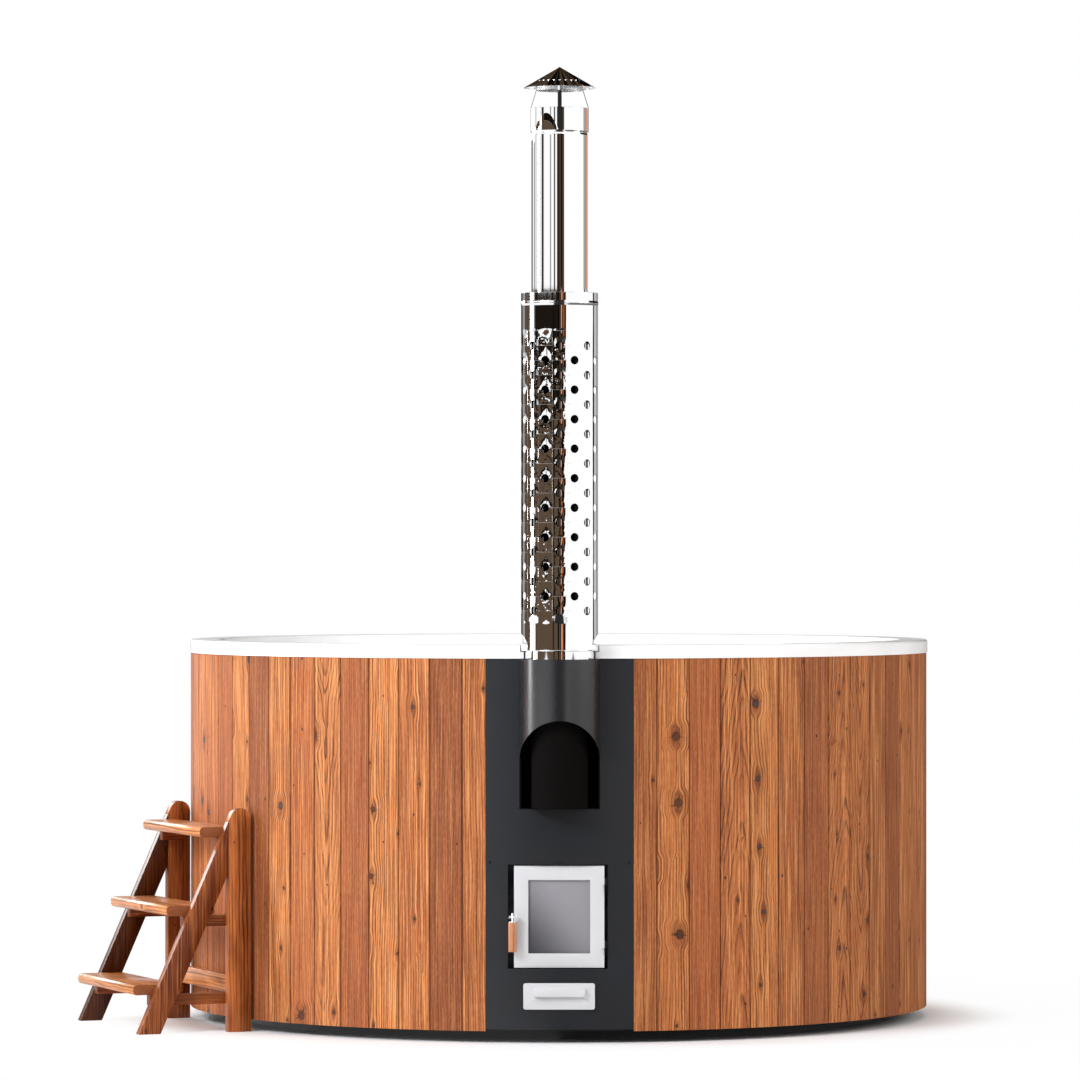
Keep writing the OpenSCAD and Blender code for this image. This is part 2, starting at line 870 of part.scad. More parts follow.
module water_jacket() {
  color("dimgray") difference() {
    slab([-jacket_half, plate_back, jacket_foot], [jacket_half, stove_rear, jacket_top]);
    slab([-jacket_half + steel_t, plate_back - cut, chamber_floor],
      [jacket_half - steel_t, stove_rear - steel_t, jacket_top - steel_t]);
    slab([-riser_half - seat, riser_front - seat, jacket_top - cut],
      [riser_half + seat, riser_front + riser_len + seat, jacket_top + cut]);
    for (z = [hot_z, cold_z])
      translate([water_pipe_x, 0, z]) y_tube(water_pipe_r + seat, stove_rear - cut, stove_rear + cut);
  }
}

module firebox() {
  color("saddlebrown") {
    difference() {
      slab([-firebox_half, plate_back, chamber_floor], [firebox_half, firebox_rear, firebox_top]);
      slab([-firebox_half + steel_t, plate_back - cut, chamber_floor - cut],
        [firebox_half - steel_t, firebox_rear - steel_t, firebox_top - steel_t]);
      slab([-riser_half + riser_t, riser_front + riser_t, firebox_top - cut],
        [riser_half - riser_t, riser_front + riser_len - riser_t, firebox_top + cut]);
    }
    for (side = [-1, 1])
      slab([side * (firebox_half - steel_t) - (side > 0 ? ledge_w : 0), plate_back, ledge_z],
        [side * (firebox_half - steel_t) + (side > 0 ? 0 : ledge_w), firebox_rear - steel_t,
          ledge_z + ledge_t]);
  }
}

module fire_grate() {
  half = firebox_half - steel_t - 1;
  slot_step = 2 * (half - grate_border) / grate_slots;
  color("dimgray") difference() {
    slab([-half, plate_back + 1, grate_z], [half, firebox_rear - steel_t - 1, grate_z + grate_t]);
    for (i = [0:grate_slots - 1]) {
      x = (i + 0.5) * slot_step - half + grate_border;
      slab([x - slot_step / 4, plate_back + grate_border, grate_z - cut],
        [x + slot_step / 4, firebox_rear - steel_t - grate_border, grate_z + grate_t + cut]);
    }
  }
}

module stove_feet() {
  color("dimgray") for (side = [-1, 1])
    slab([side * (jacket_half - foot_rail_w) - foot_rail_w / 2, plate_back, plate_top],
      [side * (jacket_half - foot_rail_w) + foot_rail_w / 2, stove_rear - foot_rail_w, jacket_foot]);
}

// Rails that the ash tray slides on
module ash_rails() {
  color("gray") for (x = [drawer_x0 + tray_side, drawer_x1 - tray_side - ledge_w])
    slab([x, plate_back, chamber_floor], [x + ledge_w, plate_back + tray_len - cut, drawer_foot + tray_lift - seat]);
}

// Box that takes the smoke up from the firebox and forward into the tee
module smoke_riser() {
  color("black") difference() {
    union() {
      slab([-riser_half, riser_front, firebox_top], [riser_half, riser_front + riser_len, riser_top]);
      translate([0, 0, branch_z])
        y_tube(branch_r, flue_y + flue_r, riser_front + riser_t);
    }
    slab([-riser_half + riser_t, riser_front + riser_t, firebox_top - cut],
      [riser_half - riser_t, riser_front + riser_len - riser_t, riser_top - riser_t]);
    translate([0, 0, branch_z]) y_tube(branch_r - riser_t, flue_y, riser_front + riser_len / 2);
    at_flue() post_tube(flue_r + seat, 0, board_top);
  }
}

// Upright black tee in the niche; its spigot holds the flue pipe
module flue_tee() {
  color("black") at_flue() difference() {
    union() {
      post_tube(flue_r, tee_foot, tee_top);
      post_tube(flue_r - flue_t - seat, tee_top - spigot_len, tee_top + spigot_len);
    }
    post_tube(flue_r - flue_t - seat - tee_t, tee_foot + tee_t, tee_top + spigot_len + cut);
    translate([0, 0, branch_z]) y_tube(branch_r - riser_t, 0, flue_r + cut);
  }
}

module flue_pipe() {
  color("silver") at_flue() {
    post_tube(flue_r, tee_top, flue_top, flue_r - flue_t);
    translate([0, 0, flue_top - pipe_bead_drop]) rotate_extrude()
      difference() {
        translate([flue_r, 0]) circle(r = bead_r);
        translate([0, -cut]) square([flue_r - flue_t / 2, 2 * cut]);
      }
  }
}

// Perforated tube round the hot part of the flue, with a ring and a neck at its foot
module heat_shield() {
  color("silver") at_flue() difference() {
    union() {
      post_tube(shield_r, shield_foot, shield_top, shield_r - shield_t);
      post_tube(shield_r + ring_over, shield_foot - ring_t, shield_foot, neck_r - shield_t);
      post_tube(neck_r, shield_foot - neck_drop, shield_foot - ring_t / 2, neck_r - shield_t);
      translate([0, 0, shield_top - shield_bead_drop]) rotate_extrude() difference() {
        translate([shield_r, 0]) circle(r = bead_r);
        translate([0, -cut]) square([shield_r - shield_t / 2, 2 * cut]);
      }
    }
    for (column = [0:2 * shield_columns - 1]) {
      short = column % 2;
      for (i = [0:shield_holes - 1 - short])
        rotate([0, 0, column * 180 / shield_columns - 90])
          translate([0, 0, shield_foot + shield_hole_start + (i + short / 2) * shield_hole_pitch])
            rotate([0, 90, 0]) translate([0, 0, neck_r]) cylinder(d = shield_hole_d, h = cut * 3);
    }
  }
}

// Pins that hold the shield and its neck off the pipe
module shield_spacers() {
  color("silver") at_flue() for (i = [0:2]) rotate([0, 0, i * 120 - 30]) {
    translate([0, 0, shield_top - shield_bead_drop / 2]) rotate([0, 90, 0])
      translate([0, 0, flue_r + seat]) cylinder(r = spacer_r, h = shield_r - shield_t - flue_r - 2 * seat);
    translate([0, 0, shield_foot - neck_drop / 2]) rotate([0, 90, 0])
      translate([0, 0, flue_r + seat]) cylinder(r = spacer_r, h = neck_r - shield_t - flue_r - 2 * seat);
  }
}

// Straps run up the pipe from its bead, lean in over the gap and hold the cap's ring
module cap_straps() {
  low = flue_top - pipe_bead_drop + bead_r + seat;
  pipe_x = flue_r + seat;
  ring_x = cap_ring_r + seat;
  bend = flue_top + strap_t;
  color("silver") at_flue() for (i = [0:3]) rotate([0, 0, i * 90]) translate([0, strap_w / 2, 0])
    rotate([90, 0, 0]) linear_extrude(height = strap_w) polygon([
      [pipe_x, low], [pipe_x + strap_t, low], [pipe_x + strap_t, bend],
      [ring_x + strap_t, cap_foot - cap_ring_drop], [ring_x + strap_t, cap_ring_top - strap_w],
      [ring_x, cap_ring_top - strap_w], [ring_x, cap_foot - cap_ring_drop], [pipe_x, bend]
    ]);
}

module cap_ring() {
  color("silver") at_flue() post_tube(cap_ring_r, cap_foot - cap_ring_drop, cap_ring_top, cap_ring_r - strap_t);
}

// Pleated cone: its rim rises and falls between two heights
module rain_cap() {
  count = 2 * cap_pleats;
  top_rim = [for (i = [0:count - 1])
    [cap_r * cos(i * 360 / count), cap_r * sin(i * 360 / count), cap_foot + (i % 2) * pleat_h]];
  points = concat(top_rim, [for (p = top_rim) p - [0, 0, cap_t]],
    [[0, 0, cap_foot + cap_h], [0, 0, cap_foot + cap_h - cap_t]]);
  faces = [for (i = [0:count - 1]) let (j = (i + 1) % count)
    each [[2 * count, j, i], [2 * count + 1, count + i, count + j], [i, j, count + j], [i, count + j, count + i]]];
  color("dimgray") at_flue() polyhedron(points = points, faces = faces, convexity = 4);
}

module water_pipes() {
  color("silver") for (z = [hot_z, cold_z])
    translate([water_pipe_x, 0, z])
      y_tube(water_pipe_r, stove_rear - steel_t, pocket_rear + shell_t, water_pipe_r - water_pipe_t);
}

module fitting_nuts() {
  color("dimgray") for (z = [hot_z, cold_z])
    translate([water_pipe_x, pocket_rear, z]) rotate([90, 0, 0]) difference() {
      cylinder(r = nut_r, h = nut_t, $fn = 6);
      translate([0, 0, -cut]) cylinder(r = water_pipe_r + seat, h = nut_t + 2 * cut);
    }
}

// Slotted covers over the pipes' mouths in the basin
module wall_fittings() {
  face = pocket_rear + shell_t;
  color("white") for (z = [hot_z, cold_z]) translate([water_pipe_x, face, z]) difference() {
    y_tube(fitting_r, 0, fitting_t);
    for (i = [0:fitting_slots - 1]) {
      x = (i - (fitting_slots - 1) / 2) * fitting_r / fitting_slots;
      slab([x - steel_t / 2, -cut, -water_pipe_r + steel_t], [x + steel_t / 2, fitting_t + cut, water_pipe_r - steel_t]);
    }
  }
}

module drain_inlet() {
  color("silver") translate([drain_x, drain_y, 0]) difference() {
    union() {
      post_tube(inlet_r, floor_z, floor_z + inlet_t);
      post_tube(tail_r, basin_base, floor_z + inlet_t / 2);
    }
    post_tube(tail_bore_r, 0, floor_z + inlet_t + cut);
  }
}

module drain_pipe() {
  color("gray") translate([drain_x, 0, 0]) difference() {
    union() {
      translate([0, drain_y, 0]) post_tube(tail_r, plate_top, basin_base);
      translate([0, 0, drain_z]) y_tube(drain_pipe_r, drain_y, valve_y);
    }
    translate([0, drain_y, 0]) post_tube(tail_bore_r, drain_z, basin_base + cut);
    translate([0, 0, drain_z]) y_tube(drain_bore_r, drain_y, valve_y + cut);
  }
}

// Valve body, closed inside, with its stem, nut and hose spigot
module drain_valve() {
  color("goldenrod") translate([drain_x, 0, 0]) {
    difference() {
      union() {
        translate([0, 0, drain_z]) y_tube(valve_r, valve_y, valve_y + valve_len);
        translate([0, 0, drain_z]) y_tube(spigot_r, valve_y + valve_len / 2, valve_y + valve_len + hose_len);
        translate([0, stem_y, 0]) post_tube(bonnet_r, drain_z, bonnet_top);
      }
      translate([0, 0, drain_z])
        y_tube(spigot_bore_r, valve_y + valve_len * 0.75, valve_y + valve_len + hose_len + cut);
      translate([0, 0, drain_z]) y_tube(drain_bore_r, valve_y - cut, valve_y + valve_len / 4);
    }
    translate([0, stem_y, 0]) {
      post_tube(valve_stem_r, bonnet_top - 1, bonnet_top + lever_hub_t + 2 * seat + valve_nut_t);
      translate([0, 0, bonnet_top + lever_hub_t + 2 * seat]) cylinder(r = valve_nut_r, h = valve_nut_t, $fn = 6);
    }
  }
}

module drain_lever() {
  color("firebrick") translate([drain_x, stem_y, bonnet_top + seat]) difference() {
    union() {
      post_tube(lever_hub_r, 0, lever_hub_t);
      slab([0, -lever_arm_w / 2, (lever_hub_t - lever_arm_t) / 2],
        [lever_arm_len, lever_arm_w / 2, (lever_hub_t + lever_arm_t) / 2]);
    }
    post_tube(valve_stem_r + pin_play, -cut, lever_hub_t + cut);
  }
}

// The steps' own frame: X runs out from the tub, Y across the steps
module at_steps() {
  rotate([0, 0, 180 + step_angle]) children();
}

// Side view of one side frame: X out from the tub, Y up
module frame_outline() {
  polygon(rounded([[step_back, 0], [step_front, 0], [step_top_x, step_h], [step_back, step_h]],
    [0, 0, frame_round, frame_round], 10));
}

// Stands a side view on edge, as boards of the steps' timber at both sides
module side_boards() {
  at_steps() for (y = [-frame_inner, frame_half])
    translate([0, y, 0]) rotate([90, 0, 0]) linear_extrude(height = timber_t) children();
}

module step_posts() {
  color("saddlebrown") side_boards() intersection() {
    frame_outline();
    translate([step_back, 0]) square([post_w, step_h]);
  }
}

module step_stringers() {
  lean = step_h * tan(stringer_slope);
  color("saddlebrown") side_boards() intersection() {
    frame_outline();
    translate([post_front, 0]) square([step_foot_len, step_h]);
    polygon([[step_front - stringer_foot_w, 0], [step_front, 0], [step_front - lean, step_h],
      [step_front - stringer_foot_w - lean, step_h]]);
  }
}

// Front edge of the stringers at a height
function stringer_x(z) = step_front - z * tan(stringer_slope);

function tread_top(i) = first_tread + i * tread_rise;

function tread_front(i) = stringer_x(tread_top(i) - timber_t / 2) + nosing;

module step_treads() {
  color("chocolate") at_steps() for (i = [0:tread_count - 1]) {
    front = tread_front(i);
    back = max(front - tread_d, tread_clear);
    z1 = tread_top(i);
    translate([0, frame_inner, 0]) rotate([90, 0, 0]) linear_extrude(height = 2 * frame_inner)
      polygon(rounded([[back, z1 - timber_t], [front, z1 - timber_t], [front, z1], [back, z1]],
        [tread_round, tread_round, tread_round, tread_round]));
  }
}

module step_cleats() {
  color("saddlebrown") at_steps() for (i = [0:tread_count - 1], side = [-1, 1]) {
    z1 = tread_top(i) - timber_t;
    front = stringer_x(z1 - cleat_h / 2);
    slab([step_back + timber_t, side * frame_inner - (side > 0 ? timber_t : 0), z1 - cleat_h],
      [front, side * frame_inner + (side > 0 ? 0 : timber_t), z1]);
  }
}

module step_rail() {
  color("chocolate") at_steps() difference() {
    slab([post_front - rail_t, -frame_inner, rail_z], [post_front, frame_inner, rail_z + rail_h]);
    for (side = [-1, 1])
      slab([step_back, side * frame_inner - timber_t - seat, 0],
        [step_front, side * frame_inner + timber_t + seat, tread_top(0) - timber_t + seat]);
  }
}

module door_frame() {
  color("gainsboro") difference() {
    union() {
      slab([door_x0, door_y, door_foot], [door_x1, door_y + door_face_t, door_top]);
      frame_ring(door_x0, door_x1, door_foot, door_top, door_flange_t, door_y, door_back);
      for (z = hinge_feet()) {
        low = z + knuckle_h + seat;
        slab([hinge_x - lug_len, hinge_y, low], [hinge_x, door_y, low + knuckle_h]);
        translate([hinge_x, hinge_y, 0]) post_tube(knuckle_r, low, low + knuckle_h);
      }
    }
    slab([door_x0 + door_border, door_y - cut, door_foot + door_border],
      [door_x1 - door_border, door_back, door_top - door_border]);
    for (z = hinge_feet())
      translate([hinge_x, hinge_y, 0]) post_tube(hinge_pin_r + pin_play, z, z + 3 * knuckle_h);
  }
}

module door_glass() {
  inset = door_border - glass_lap;
  color([0.6, 0.6, 0.62, 0.6]) slab([door_x0 + inset, door_y + door_face_t, door_foot + inset],
    [door_x1 - inset, door_y + door_face_t + glass_t, door_top - inset]);
}

// Bars that hold the glass at its upper and lower edge
module glass_clips() {
  inset = door_border - glass_lap;
  glass_back = door_y + door_face_t + glass_t;
  color("silver") for (z = [door_foot + inset, door_top - inset - glass_lap / 2])
    slab([door_x0 + inset, glass_back, z], [door_x1 - inset, glass_back + clip_t, z + glass_lap / 2]);
}

module door_gasket() {
  color("dimgray") frame_ring(gasket_x0, gasket_x1, gasket_z0, gasket_z1, gasket_w,
    door_y + door_face_t, door_back - seat);
}

module latch_stud() {
  color("silver") translate([latch_x, 0, latch_z]) {
    y_tube(stud_base_r, door_y - stud_base_h, door_y);
    y_tube(stud_r, door_y - stud_base_h - eye_t - 2 * seat - stud_head_t, door_y - stud_base_h / 2);
    y_tube(stud_base_r, door_y - stud_base_h - eye_t - 2 * seat - stud_head_t,
      door_y - stud_base_h - eye_t - 2 * seat);
  }
}

// Eye on the stud, an arm out to the peg, a tip above and a stem down to the grip
module latch_lever() {
  eye_back = door_y - stud_base_h - seat;
  stem_x = grip_x - latch_x;
  color("white") translate([latch_x, 0, latch_z]) difference() {
    union() {
      y_tube(eye_r, eye_back - eye_t, eye_back);
      slab([peg_x, eye_back - eye_t, peg_z - peg_r], [0, eye_back - eye_t + lever_t, peg_z + peg_r]);
      translate([peg_x, 0, peg_z]) y_tube(peg_r, eye_back - eye_t, peg_end_y);
      translate([stem_x, grip_y, 0]) {
        post_tube(stem_r, -eye_r - ferrule_h, tip_rise);
        post_tube(ferrule_r, -eye_r - ferrule_h - seat, -eye_r);
      }
    }
    y_tube(stud_r + pin_play, eye_back - eye_t - cut, eye_back + cut);
  }
}

module latch_grip() {
  top = latch_z - eye_r - ferrule_h - seat;
  color("chocolate") translate([grip_x, grip_y, 0]) post_tube(grip_r, top - grip_len, top);
}

// Drawer front with its hooded finger lip, open below
module ash_front() {
  lip_x0 = drawer_x - lip_w / 2;
  lip_x1 = drawer_x + lip_w / 2;
  color("white") {
    front_plate(drawer_x0, drawer_x1, drawer_foot, drawer_top, drawer_y, drawer_y + drawer_t, drawer_round);
    difference() {
      front_plate(lip_x0, lip_x1, lip_z0, lip_z1, drawer_y - lip_out, drawer_y, lip_round);
      translate([drawer_x, drawer_y, lip_z0]) rotate([0, -90, 0]) translate([0, 0, -lip_w])
        linear_extrude(height = 2 * lip_w) polygon([[lip_h / 2, -lip_out - cut], [lip_h + cut, -lip_out - cut],
          [lip_h + cut, 0], [lip_h - lip_wall, -lip_wall]]);
      slab([lip_x0 + lip_round, drawer_y - lip_out + lip_wall, lip_z0 - cut],
        [lip_x1 - lip_round, drawer_y, lip_z1 - lip_h * 0.4]);
    }
  }
}

module ash_tray() {
  x0 = drawer_x0 + tray_side;
  x1 = drawer_x1 - tray_side;
  y0 = drawer_y + drawer_t;
  z0 = drawer_foot + tray_lift;
  z1 = drawer_top - tray_drop;
  color("silver") difference() {
    slab([x0, y0, z0], [x1, y0 + tray_len, z1]);
    slab([x0 + tray_t, y0 + tray_t, z0 + tray_t], [x1 - tray_t, y0 + tray_len - tray_t, z1 + cut]);
  }
}

base_skirt();
base_bearers();
base_plate();
floor_joists();
plywood_hoops();
rim_core();
basin();
basin_hood();
basin_well();
basin_floor();
boards_front_left();
boards_front_right();
boards_rear_left();
boards_rear_right();
boards_cut();
front_panel();
front_panel_low();
panel_screws();
flue_sleeve();
niche_back();
door_surround();
ash_surround();
hinge_blocks();
hinge_pins();
latch_keeper();
stove_front();
water_jacket();
firebox();
fire_grate();
stove_feet();
ash_rails();
smoke_riser();
flue_tee();
flue_pipe();
heat_shield();
shield_spacers();
cap_straps();
cap_ring();
rain_cap();
water_pipes();
fitting_nuts();
wall_fittings();
drain_inlet();
drain_pipe();
drain_valve();
step_posts();
step_stringers();
step_treads();
step_cleats();
step_rail();
door_frame();
door_glass();
glass_clips();
door_gasket();
latch_stud();
latch_lever();
latch_grip();
ash_front();
ash_tray();
drain_lever();
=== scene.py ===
"""Round wood-fired hot tub: finishes, fine pieces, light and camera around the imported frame.

Lengths are in millimetres until a mesh is made, and angles in degrees until Blender gets them.
"""
import math

import bmesh
import bpy
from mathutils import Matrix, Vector


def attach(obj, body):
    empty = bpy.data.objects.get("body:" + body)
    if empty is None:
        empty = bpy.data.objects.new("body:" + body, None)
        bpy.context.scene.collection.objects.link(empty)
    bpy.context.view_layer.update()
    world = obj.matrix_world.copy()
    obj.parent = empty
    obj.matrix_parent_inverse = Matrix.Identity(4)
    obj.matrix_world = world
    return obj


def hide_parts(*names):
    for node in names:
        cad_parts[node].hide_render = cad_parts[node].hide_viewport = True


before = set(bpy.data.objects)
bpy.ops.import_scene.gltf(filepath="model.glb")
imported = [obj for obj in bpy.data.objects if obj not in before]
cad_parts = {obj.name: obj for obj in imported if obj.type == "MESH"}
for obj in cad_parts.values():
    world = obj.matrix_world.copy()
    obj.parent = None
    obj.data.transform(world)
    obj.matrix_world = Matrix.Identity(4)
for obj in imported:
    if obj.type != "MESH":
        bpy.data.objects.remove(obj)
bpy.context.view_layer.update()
MM = 0.001

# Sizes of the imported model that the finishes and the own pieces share
TUB_R = 1000.0
BOARD_COUNT = 66
FIRST_JOINT = 14.5  # degrees from the front to the first joint between whole boards
PITCH = (360 - 2 * FIRST_JOINT) / BOARD_COUNT
FLUE_Y = -1000.0
FLUE_AT = (0, FLUE_Y)
FLUE_R = 72.25
SHIELD_R = 98.75
HOLE_COLUMNS = 16  # columns of holes round the shield, every other one half a pitch higher
HOLE_PITCH = 75.2
FIRST_HOLE = 1109.0  # height of the lowest hole
STEP_ANGLE = math.radians(21.6)  # turn of the steps round the tub
RAKE_ANGLE = math.radians(24.1)  # lean of the stringers


def tint(code, alpha=1.0):
    """A colour as written, such as #a0654a, in the light's own scale."""
    parts = [int(code[i : i + 2], 16) / 255 for i in (1, 3, 5)]
    return tuple(
        p / 12.92 if p <= 0.04045 else ((p + 0.055) / 1.055) ** 2.4 for p in parts
    ) + (alpha,)


class Amount:
    """A value in a finish. Sums on it add Math nodes."""

    def __init__(self, finish, socket):
        self.finish, self.socket = finish, socket

    def output(self, place):
        return Amount(self.finish, self.socket.node.outputs[place])

    def math(self, operation, *terms):
        return self.finish.node("ShaderNodeMath", {"operation": operation}, terms)

    def __add__(self, other):
        return self.math("ADD", self, other)

    def __radd__(self, other):
        return self.math("ADD", other, self)

    def __sub__(self, other):
        return self.math("SUBTRACT", self, other)

    def __rsub__(self, other):
        return self.math("SUBTRACT", other, self)

    def __mul__(self, other):
        return self.math("MULTIPLY", self, other)

    def __rmul__(self, other):
        return self.math("MULTIPLY", other, self)

    def __truediv__(self, other):
        return self.math("DIVIDE", self, other)

    def __rtruediv__(self, other):
        return self.math("DIVIDE", other, self)

    def __pow__(self, other):
        return self.math("POWER", self, other)

    def __neg__(self):
        return self.math("MULTIPLY", self, -1.0)

    def floor(self):
        return self.math("FLOOR", self)

    def fract(self):
        return self.math("FRACT", self)

    def root(self):
        return self.math("SQRT", self)

    def size(self):
        return self.math("ABSOLUTE", self)

    def sine(self):
        return self.math("SINE", self)

    def over(self, edge):
        return self.math("GREATER_THAN", self, edge)

    def least(self, other):
        return self.math("MINIMUM", self, other)

    def most(self, other):
        return self.math("MAXIMUM", self, other)

    def fit(self, low, high, out_low=0.0, out_high=1.0, ease="SMOOTHSTEP"):
        return self.finish.node(
            "ShaderNodeMapRange",
            {"interpolation_type": ease, "clamp": True},
            (self, low, high, out_low, out_high),
        )

    def bell(self, width):
        """1 at zero, falling to nothing over the width on both sides."""
        share = self / width
        return self.math("EXPONENT", -(share * share))


class Finish:
    """The nodes of one material, or of the world."""

    def __init__(self, tree):
        self.tree = tree
        tree.nodes.clear()

    def node(self, kind, settings=None, inputs=(), out=0):
        made = self.tree.nodes.new(kind)
        for key, value in (settings or {}).items():
            if key == "stops":
                ramp = made.color_ramp
                while len(ramp.elements) < len(value):
                    ramp.elements.new(1.0)
                for element, (place, colour) in zip(ramp.elements, value):
                    element.position, element.color = place, colour
            elif key == "ease":
                made.color_ramp.interpolation = value
            else:
                setattr(made, key, value)
        pairs = inputs.items() if isinstance(inputs, dict) else enumerate(inputs)
        for key, value in pairs:
            if isinstance(value, Amount):
                self.tree.links.new(value.socket, made.inputs[key])
            else:
                made.inputs[key].default_value = value
        return Amount(self, made.outputs[out]) if made.outputs else made

    def split(self, vector):
        made = self.node("ShaderNodeSeparateXYZ", None, (vector,))
        return made, made.output(1), made.output(2)

    def join(self, x, y, z):
        return self.node("ShaderNodeCombineXYZ", None, (x, y, z))

    def place(self):
        """The point on the piece, in millimetres of the frame, as three values."""
        where = self.node("ShaderNodeTexCoord", None, (), 3)
        scaled = self.node(
            "ShaderNodeVectorMath", {"operation": "SCALE"}, {0: where, 3: 1 / MM}
        )
        return self.split(scaled)

    def along(self, point, axis):
        """How far the point lies along an axis."""
        return point[0] * axis[0] + point[1] * axis[1] + point[2] * axis[2]

    def noise(self, vector, scale=1.0, detail=2.0, rough=0.5):
        return self.node(
            "ShaderNodeTexNoise",
            None,
            {"Vector": vector, "Scale": scale, "Detail": detail, "Roughness": rough},
        )

    def chance(self, number):
        """Three values from 0 to 1 that depend on a number alone."""
        made = self.node(
            "ShaderNodeTexWhiteNoise", {"noise_dimensions": "1D"}, {"W": number}, 1
        )
        return self.split(made)

    def cells(self, vector, randomness=1.0):
        """Scattered points: the nearest one's place, and three values of its own."""
        made = self.node(
            "ShaderNodeTexVoronoi",
            {"feature": "F1"},
            {"Vector": vector, "Scale": 1.0, "Randomness": randomness},
        )
        return self.split(made.output(2)), self.split(made.output(1))

    def between(self, low, high, share):
        """A value between two others."""
        return low + (high - low) * share

    def colours(self, colour):
        """The three parts of a colour as values."""
        parts = self.node("ShaderNodeSeparateColor", None, (colour,))
        return parts, parts.output(1), parts.output(2)

    def mix(self, low, high, share, mode="MIX"):
        return self.node(
            "ShaderNodeMix",
            {"data_type": "RGBA", "blend_type": mode},
            {0: share, 6: low, 7: high},
            2,
        )

    def bump(self, height, strength=1.0):
        """A normal from a height in millimetres."""
        return self.node(
            "ShaderNodeBump", None, {"Strength": strength, "Distance": MM, "Height": height}
        )

    def end(self, shader):
        self.node("ShaderNodeOutputMaterial", None, {"Surface": shader})

    def surface(self, colour, roughness, normal=None, metal=0.0, **constants):
        inputs = {"Base Color": colour, "Roughness": roughness, "Metallic": metal}
        if normal:
            inputs["Normal"] = normal
        inputs.update({key.replace("_", " "): value for key, value in constants.items()})
        return self.node("ShaderNodeBsdfPrincipled", None, inputs)


finishes = {}


def finish(name):
    """A new empty material, kept under its name."""
    made = bpy.data.materials.new(name)
    made.use_nodes = True
    finishes[name] = made
    return Finish(made.node_tree)


# Timber


# How each board is cut: arches, reddening, knots, and how fast its rings run out
CUTS = {
    "plain": (0.0, 1.0, 0.0, 0.2), "straight": (0.0, 0.35, 0.3, 0.3),
    "knotty": (0.1, 0.0, 1.0, 0.3), "arched": (1.0, 0.2, 0.7, 0.2),
    "pointed": (1.0, 0.4, 0.9, 0.7), "deep": (0.0, 0.75, 0.2, 0.3), "pale": (0.0, 0.08, 0.3, 0.2),
}
# The cuts of the boards, counted from the panel to the right and to the left
RIGHT = "deep knotty plain arched knotty pale plain pointed pointed straight plain knotty straight"
LEFT = "straight plain knotty knotty plain arched straight knotty plain knotty plain straight knotty"
KNOT_ACROSS, KNOT_ALONG = 90, 170  # ground of one knot
PIN_ACROSS, PIN_ALONG = 30, 62  # ground of one pin knot


def timber(f, across, along, piece, figure, spacing, knots, runout=0.3, swirl=1.0):
    """Grain of sawn softwood: lines, streaks, knots, a painted highlight on their cores, rays and
    shade, and pin knots.

    Each is a value from 0 to 1. figure runs from 0, straight lines, to 1, arches round a heart that
    lies behind the face. A knot bends the lines beside it and fades before the next one's ground.
    """
    first, second, third = f.chance(piece)
    shift = piece * 17.3
    slow = f.noise(f.join(across / 120, along / 420, shift), 1, 2) - 0.5
    waver = f.noise(f.join(across / 22, along / 95, shift + 3), 1, 3, 0.6) - 0.5

    column, row = across / KNOT_ACROSS + first * 7, along / KNOT_ALONG + third * 9
    near, kind = f.cells(f.join(column, row, piece * 10), 0.55)
    dx = (column - near[0]) * KNOT_ACROSS
    dz = (row - near[1]) * KNOT_ALONG
    reach = (dx * dx + dz * dz * 0.8).root()
    wide = (dx * dx + dz * dz * 0.16).root()
    radius = 3.5 + kind[1] * kind[1] * 9.5
    present = kind[0].over(1 - knots * 0.74) * (1 - dz.size().fit(22, 46))
    push = radius * 1.3 * (wide / (radius * 3.4)).bell(1.0)
    side = across - dx * present * push / (wide + radius * 0.25)

    heart = side - (first - 0.5) * 44 + slow * 40
    steep = (third * 0.05 + 0.045 + runout * 0.13) * ((second - 0.5).over(0) * 2 - 1)
    climb = f.noise(f.join(piece * 3.1, along / 230, 0.0), 1, 2) * 44
    arched = (heart * heart + 70).root() + along * steep + climb
    straight = side + slow * 34 + along * ((third - 0.5) * 0.02)
    fine = f.noise(f.join(across / 9, along / 60, shift + 9), 1, 2) - 0.5
    field = straight + (arched - straight) * figure + waver * (swirl * 4.5) + fine * 1.6

    ring = field / spacing
    turn = ring.fract()
    strength = f.chance(ring.floor() + piece * 31)[0].fit(0, 1, 0.3, 1, "LINEAR")
    lines = turn.fit(0.45, 0.82) * (1 - turn.fit(0.88, 1.0)) * strength
    streak = f.noise(f.join(side / 4.2, along / 260, shift), 1, 3, 0.65)

    inside = present * (1 - (reach / radius).fit(0.8, 1.15))
    # mask of the painted highlight: the grey-blue centre of a knot
    knot_core_highlight = present * (1 - (reach / radius).fit(0.3, 0.7))
    swing = dz.math("ARCTAN2", dz, dx)
    ray = f.noise(f.join(swing * 2.4, kind[2] * 30, reach / 50), 1, 2, 0.7)
    rays = present * ray.fit(0.56, 0.64) * (1 - (reach / radius).fit(0.8, 2.6))
    shade = present * (1 - (wide / (radius * 2.4)).fit(0.2, 1.0))

    spot, own = f.cells(f.join(across / PIN_ACROSS, along / PIN_ALONG, piece * 13 + 4))
    px = (across / PIN_ACROSS - spot[0]) * PIN_ACROSS
    pz = (along / PIN_ALONG - spot[1]) * PIN_ALONG
    past = (px * px + pz * pz * 0.4).root() - own[1] * 1.5
    pins = own[0].over(0.965) * (1 - past.fit(0.8, 2.4))
    return lines, streak, inside, knot_core_highlight, rays, shade, pins, (first, second, third)


